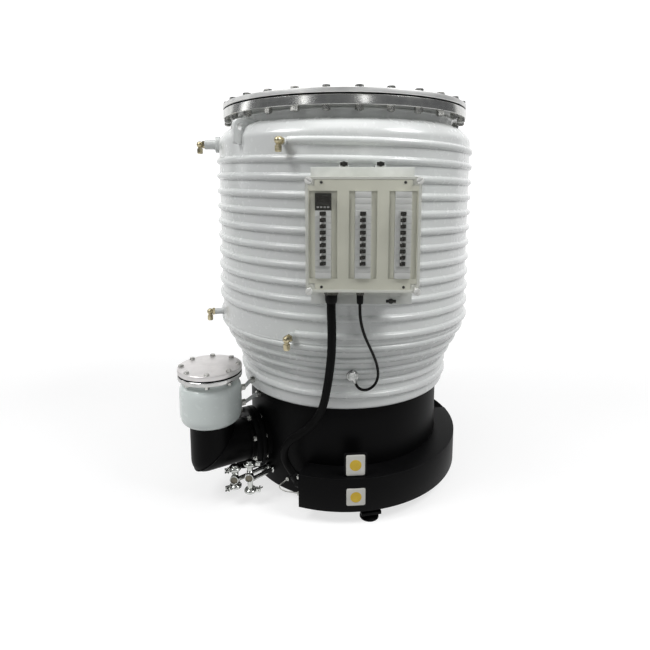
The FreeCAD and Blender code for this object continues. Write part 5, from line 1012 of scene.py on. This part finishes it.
# Thermostat: a bright round probe head over the lower barrel, with a knurled ring, a small cap and a
# short nipple for its cable.
THERMO_BEARING, THERMO_Z = 4.2, 0.519
polished = finish("polished_steel", (0.66, 0.67, 0.65), (0.44, 0.45, 0.43), (0.1, 0.28), 40.0, 260.0, 0.00008,
    metal=1.0)
thermo_out = around_pump(THERMO_BEARING)[1]
probe_steel = finish("probe_steel", (0.5, 0.5, 0.49), (0.26, 0.27, 0.26), (0.16, 0.34), 90.0, 500.0, 0.0001, metal=1.0)
head_rows = grooved([(0.019, 0.405, 0), (0.0195, 0.423, 0), (0.0197, 0.4235, 1), (0.0197, 0.433, 1),
    (0.019, 0.4345, 0), (0.016, 0.436, 0), (0.0148, 0.4362, 0), (0.0146, 0.439, 0), (0.0135, 0.44, 0),
    (0.004, 0.4398, 0)], 36, 0.012, 144)
nipple_way = around_pump(THERMO_BEARING + 90.0)[1] * sin(radians(22.0)) - Z * cos(radians(22.0))
nipple_seat = place_at(0.4334, THERMO_BEARING, THERMO_Z)
nipple_line = mm([(7, 10), (7, 21.5), (6.2, 22), (6.2, 22.8), (7, 23.3), (7, 25.2), (5.6, 26)])
piece("thermostat_head", [skin(set_out(head_rows, (0, 0, THERMO_Z), thermo_out)),
    lathe(nipple_line, nipple_seat, nipple_way, sides=40)], probe_steel, "thermostat")

# Oil service pipes: two upright tubes fed from the boiler's foot, each with a sight glass, a capped and
# clamped joint at both ends, and a wing nut on each clamp. All polished stainless.
glass_rim = finish("sight_glass", (0.2, 0.17, 0.09), (0.13, 0.11, 0.06), (0.04, 0.08), 60.0, 200.0, 0.00002, coat=0.6)
posts, clamp_parts, eyes = [], [], []
feed = (0, 0, 0.092)
for bearing, reach, top, bottom, glass_z, side in ((-43.3, 0.481, 0.166, 0.046, 0.112, 90.0),
        (-47.6, 0.519, 0.148, 0.062, 0.104, -60.0)):
    foot = place_at(reach, bearing, 0.0)
    out = around_pump(bearing)[1]
    post_line = [(0.01, bottom + 0.004), (0.01, glass_z - 0.019), (0.0118, glass_z - 0.017),
        (0.0118, glass_z + 0.017), (0.01, glass_z + 0.019), (0.01, top - 0.004)]
    posts += [lathe(post_line, foot, sides=40), lathe([(0.008, 0.372), (0.008, reach - 0.006)], feed, out,
        sides=28), lathe(mm([(12, 377), (12, 383), (8.5, 386)]), feed, out, sides=32)]
    for level, inwards in ((top, -1), (bottom, 1)):
        rim = mm([(14.8, 0), (15, 0.8), (15, 8), (14.2, 9), (14.6, 9.8), (15, 10.4), (15, 14), (12.5, 16)])
        posts += [lathe(rim, foot + (0, 0, level), (0, 0, inwards), sides=40),
            lathe(mm([(11.5, 0), (11, 2.2), (6, 2.6)]), foot + (0, 0, level - inwards * 0.0005), (0, 0, -inwards),
            sides=32)]
        middle = foot + (0, 0, level + inwards * 0.009)
        clamp_line = eased(mm([(15.2, -7), (19, -7), (22.5, -3), (22.5, 3), (19, 7), (15.2, 7)]), 0.0015, 4)
        across, away, _ = around_pump(side)
        pivot = middle + away * 0.03
        clamp_parts += [lathe(clamp_line, middle, sides=48, loop=True)] + [brick((s - 0.0018, 0.0205, -0.0065),
            (s + 0.0018, 0.037, 0.0065), 0.0012, across, away, Z, middle) for s in (-0.0035, 0.0035)]
        clamp_parts += [lathe(mm([(2.8, -9), (2.8, 23), (2.2, 23.6)]), pivot, across, sides=16),
            lathe(mm([(6, 5.2), (6.2, 8), (4.8, 13), (4, 13.3)]), pivot, across, sides=28)]
        for s in (-1, 1):
            wing = eased(mm([(2, 7), (12, 12.5), (12.5, 19.5), (9, 20), (4.8, 14.5), (2, 13)]), 0.003, 5) * (s, 1.0)
            clamp_parts.append(extruded(wing[::s], -0.0015, 0.0015, 0.0006, away, across, Z, pivot))
    eye = foot + (0, 0, glass_z)
    posts += [lathe(band(0.0128, 0.0158, 0.006, 0.0218, 0.001), eye, FRONT, sides=48, loop=True),
        lathe(mm([(12, 4), (12.7, 9.5), (12, 9.8)]), eye, FRONT, sides=40)]
    eyes.append(lathe(mm([(12.8, 10), (12.8, 18), (11, 18.8), (5, 19.1)]), eye, FRONT, sides=40))
piece("service_tubes", posts, polished, "service_pipes")
piece("service_clamp_rings", clamp_parts, polished, "service_clamps")
piece("service_glasses", eyes, glass_rim, "sight_glasses")

# Inside the pump: the jets of spun sheet, their tie rod, the cold cap, the heaters, the baffle's plates
# and the mounting rails are the imported solids as they are, all with one spun sheet steel finish.
spun_sheet = finish("spun_sheet", (0.7, 0.7, 0.69), (0.58, 0.58, 0.57), (0.25, 0.45), 14.0, 240.0, 0.0001,
    metal=1.0, stretch=(1, 1, 12))
for node in ("jet_base_stage", "jet_upper_stage", "jet_cap", "jet_tie_rod", "cold_cap", "immersion_heaters",
        "baffle_plates", "din_rails"):
    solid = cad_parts[node]
    solid.data.materials.clear()
    solid.data.materials.append(spun_sheet)

# Floor and light: a plain pale floor that runs up into a backdrop, a large soft lamp high up on each
# side, one overhead, three weak upright ones that the steel reflects, and an even world.
floor_data = bpy.data.meshes.new("floor")
floor_turn = np.linspace(0.0, pi / 2, 12)
floor_line = np.concatenate([[(-6.0, 0.0)],
    np.stack([3.5 + 1.5 * np.sin(floor_turn), 1.5 - 1.5 * np.cos(floor_turn)], -1), [(5.0, 7.0)]])
floor_rows = np.array([[(x, y, z) for y, z in floor_line] for x in (-9.0, 9.0)])
floor_points, floor_faces = skin(floor_rows, around=False, ends=False)
floor_data.from_pydata(floor_points.tolist(), [], [face[::-1] for face in floor_faces])
floor_data.shade_smooth()
floor = placed("floor", floor_data)
pale_floor = finish("floor", 0.38, 0.36, (0.7, 0.9), 0.8, 40.0, 0.0001, shine=0.1)
tree = pale_floor.node_tree
ray = wired(tree, "LightPath", {})
seen = wired(tree, "Math", {0: ray["Is Camera Ray"], 1: ray["Is Glossy Ray"]}, "MAXIMUM")["Value"]
seen = wired(tree, "Math", {0: seen, 1: ray["Is Transmission Ray"]}, "MAXIMUM")["Value"]
spot = wired(tree, "SeparateXYZ", {0: wired(tree, "TexCoord", {})["Object"]})
rise = wired(tree, "MapRange", {"Value": spot["Y"], "From Min": 0.6, "From Max": 3.6, "To Min": 0.7, "To Max": 1.0})
glow = wired(tree, "Math", {0: seen, 1: rise["Result"]}, "MULTIPLY")["Value"]
wired(tree, tree.nodes["Principled BSDF"], {"Emission Color": (1.0, 1.0, 1.0, 1.0), "Emission Strength": glow})
floor_data.materials.append(pale_floor)

for name, place, aim, width, height, power in (("left_lamp", (-2.7, -1.7, 4.2), 0.9, 1.6, 1.6, 98.0),
        ("right_lamp", (2.8, -1.5, 4.2), 0.9, 1.6, 1.6, 125.0),
        ("top_lamp", (0.0, -0.4, 4.6), 1.0, 2.2, 2.2, 40.0),
        ("left_strip", (-2.3, -3.6, 2.0), 1.2, 0.35, 1.8, 6.0),
        ("right_strip", (1.3, -4.3, 2.1), 1.2, 0.3, 1.8, 6.0),
        ("side_strip", (-3.9, 0.3, 2.0), 1.2, 0.6, 1.8, 8.0)):
    data = bpy.data.lights.new(name, "AREA")
    data.shape = "RECTANGLE"
    data.size, data.size_y, data.energy = width, height, power
    turn = Matrix([*basis(np.array(place) - (0.0, 0.0, aim))]).transposed().to_4x4()
    placed(name, data).matrix_world = Matrix.Translation(place) @ turn
world = bpy.data.worlds.new("studio")
world.use_nodes = True
wired(world.node_tree, world.node_tree.nodes["Background"], {"Color": (0.9, 0.92, 0.95, 1.0), "Strength": 0.17})
bpy.context.scene.world = world
bpy.context.scene.view_settings.view_transform = "Standard"
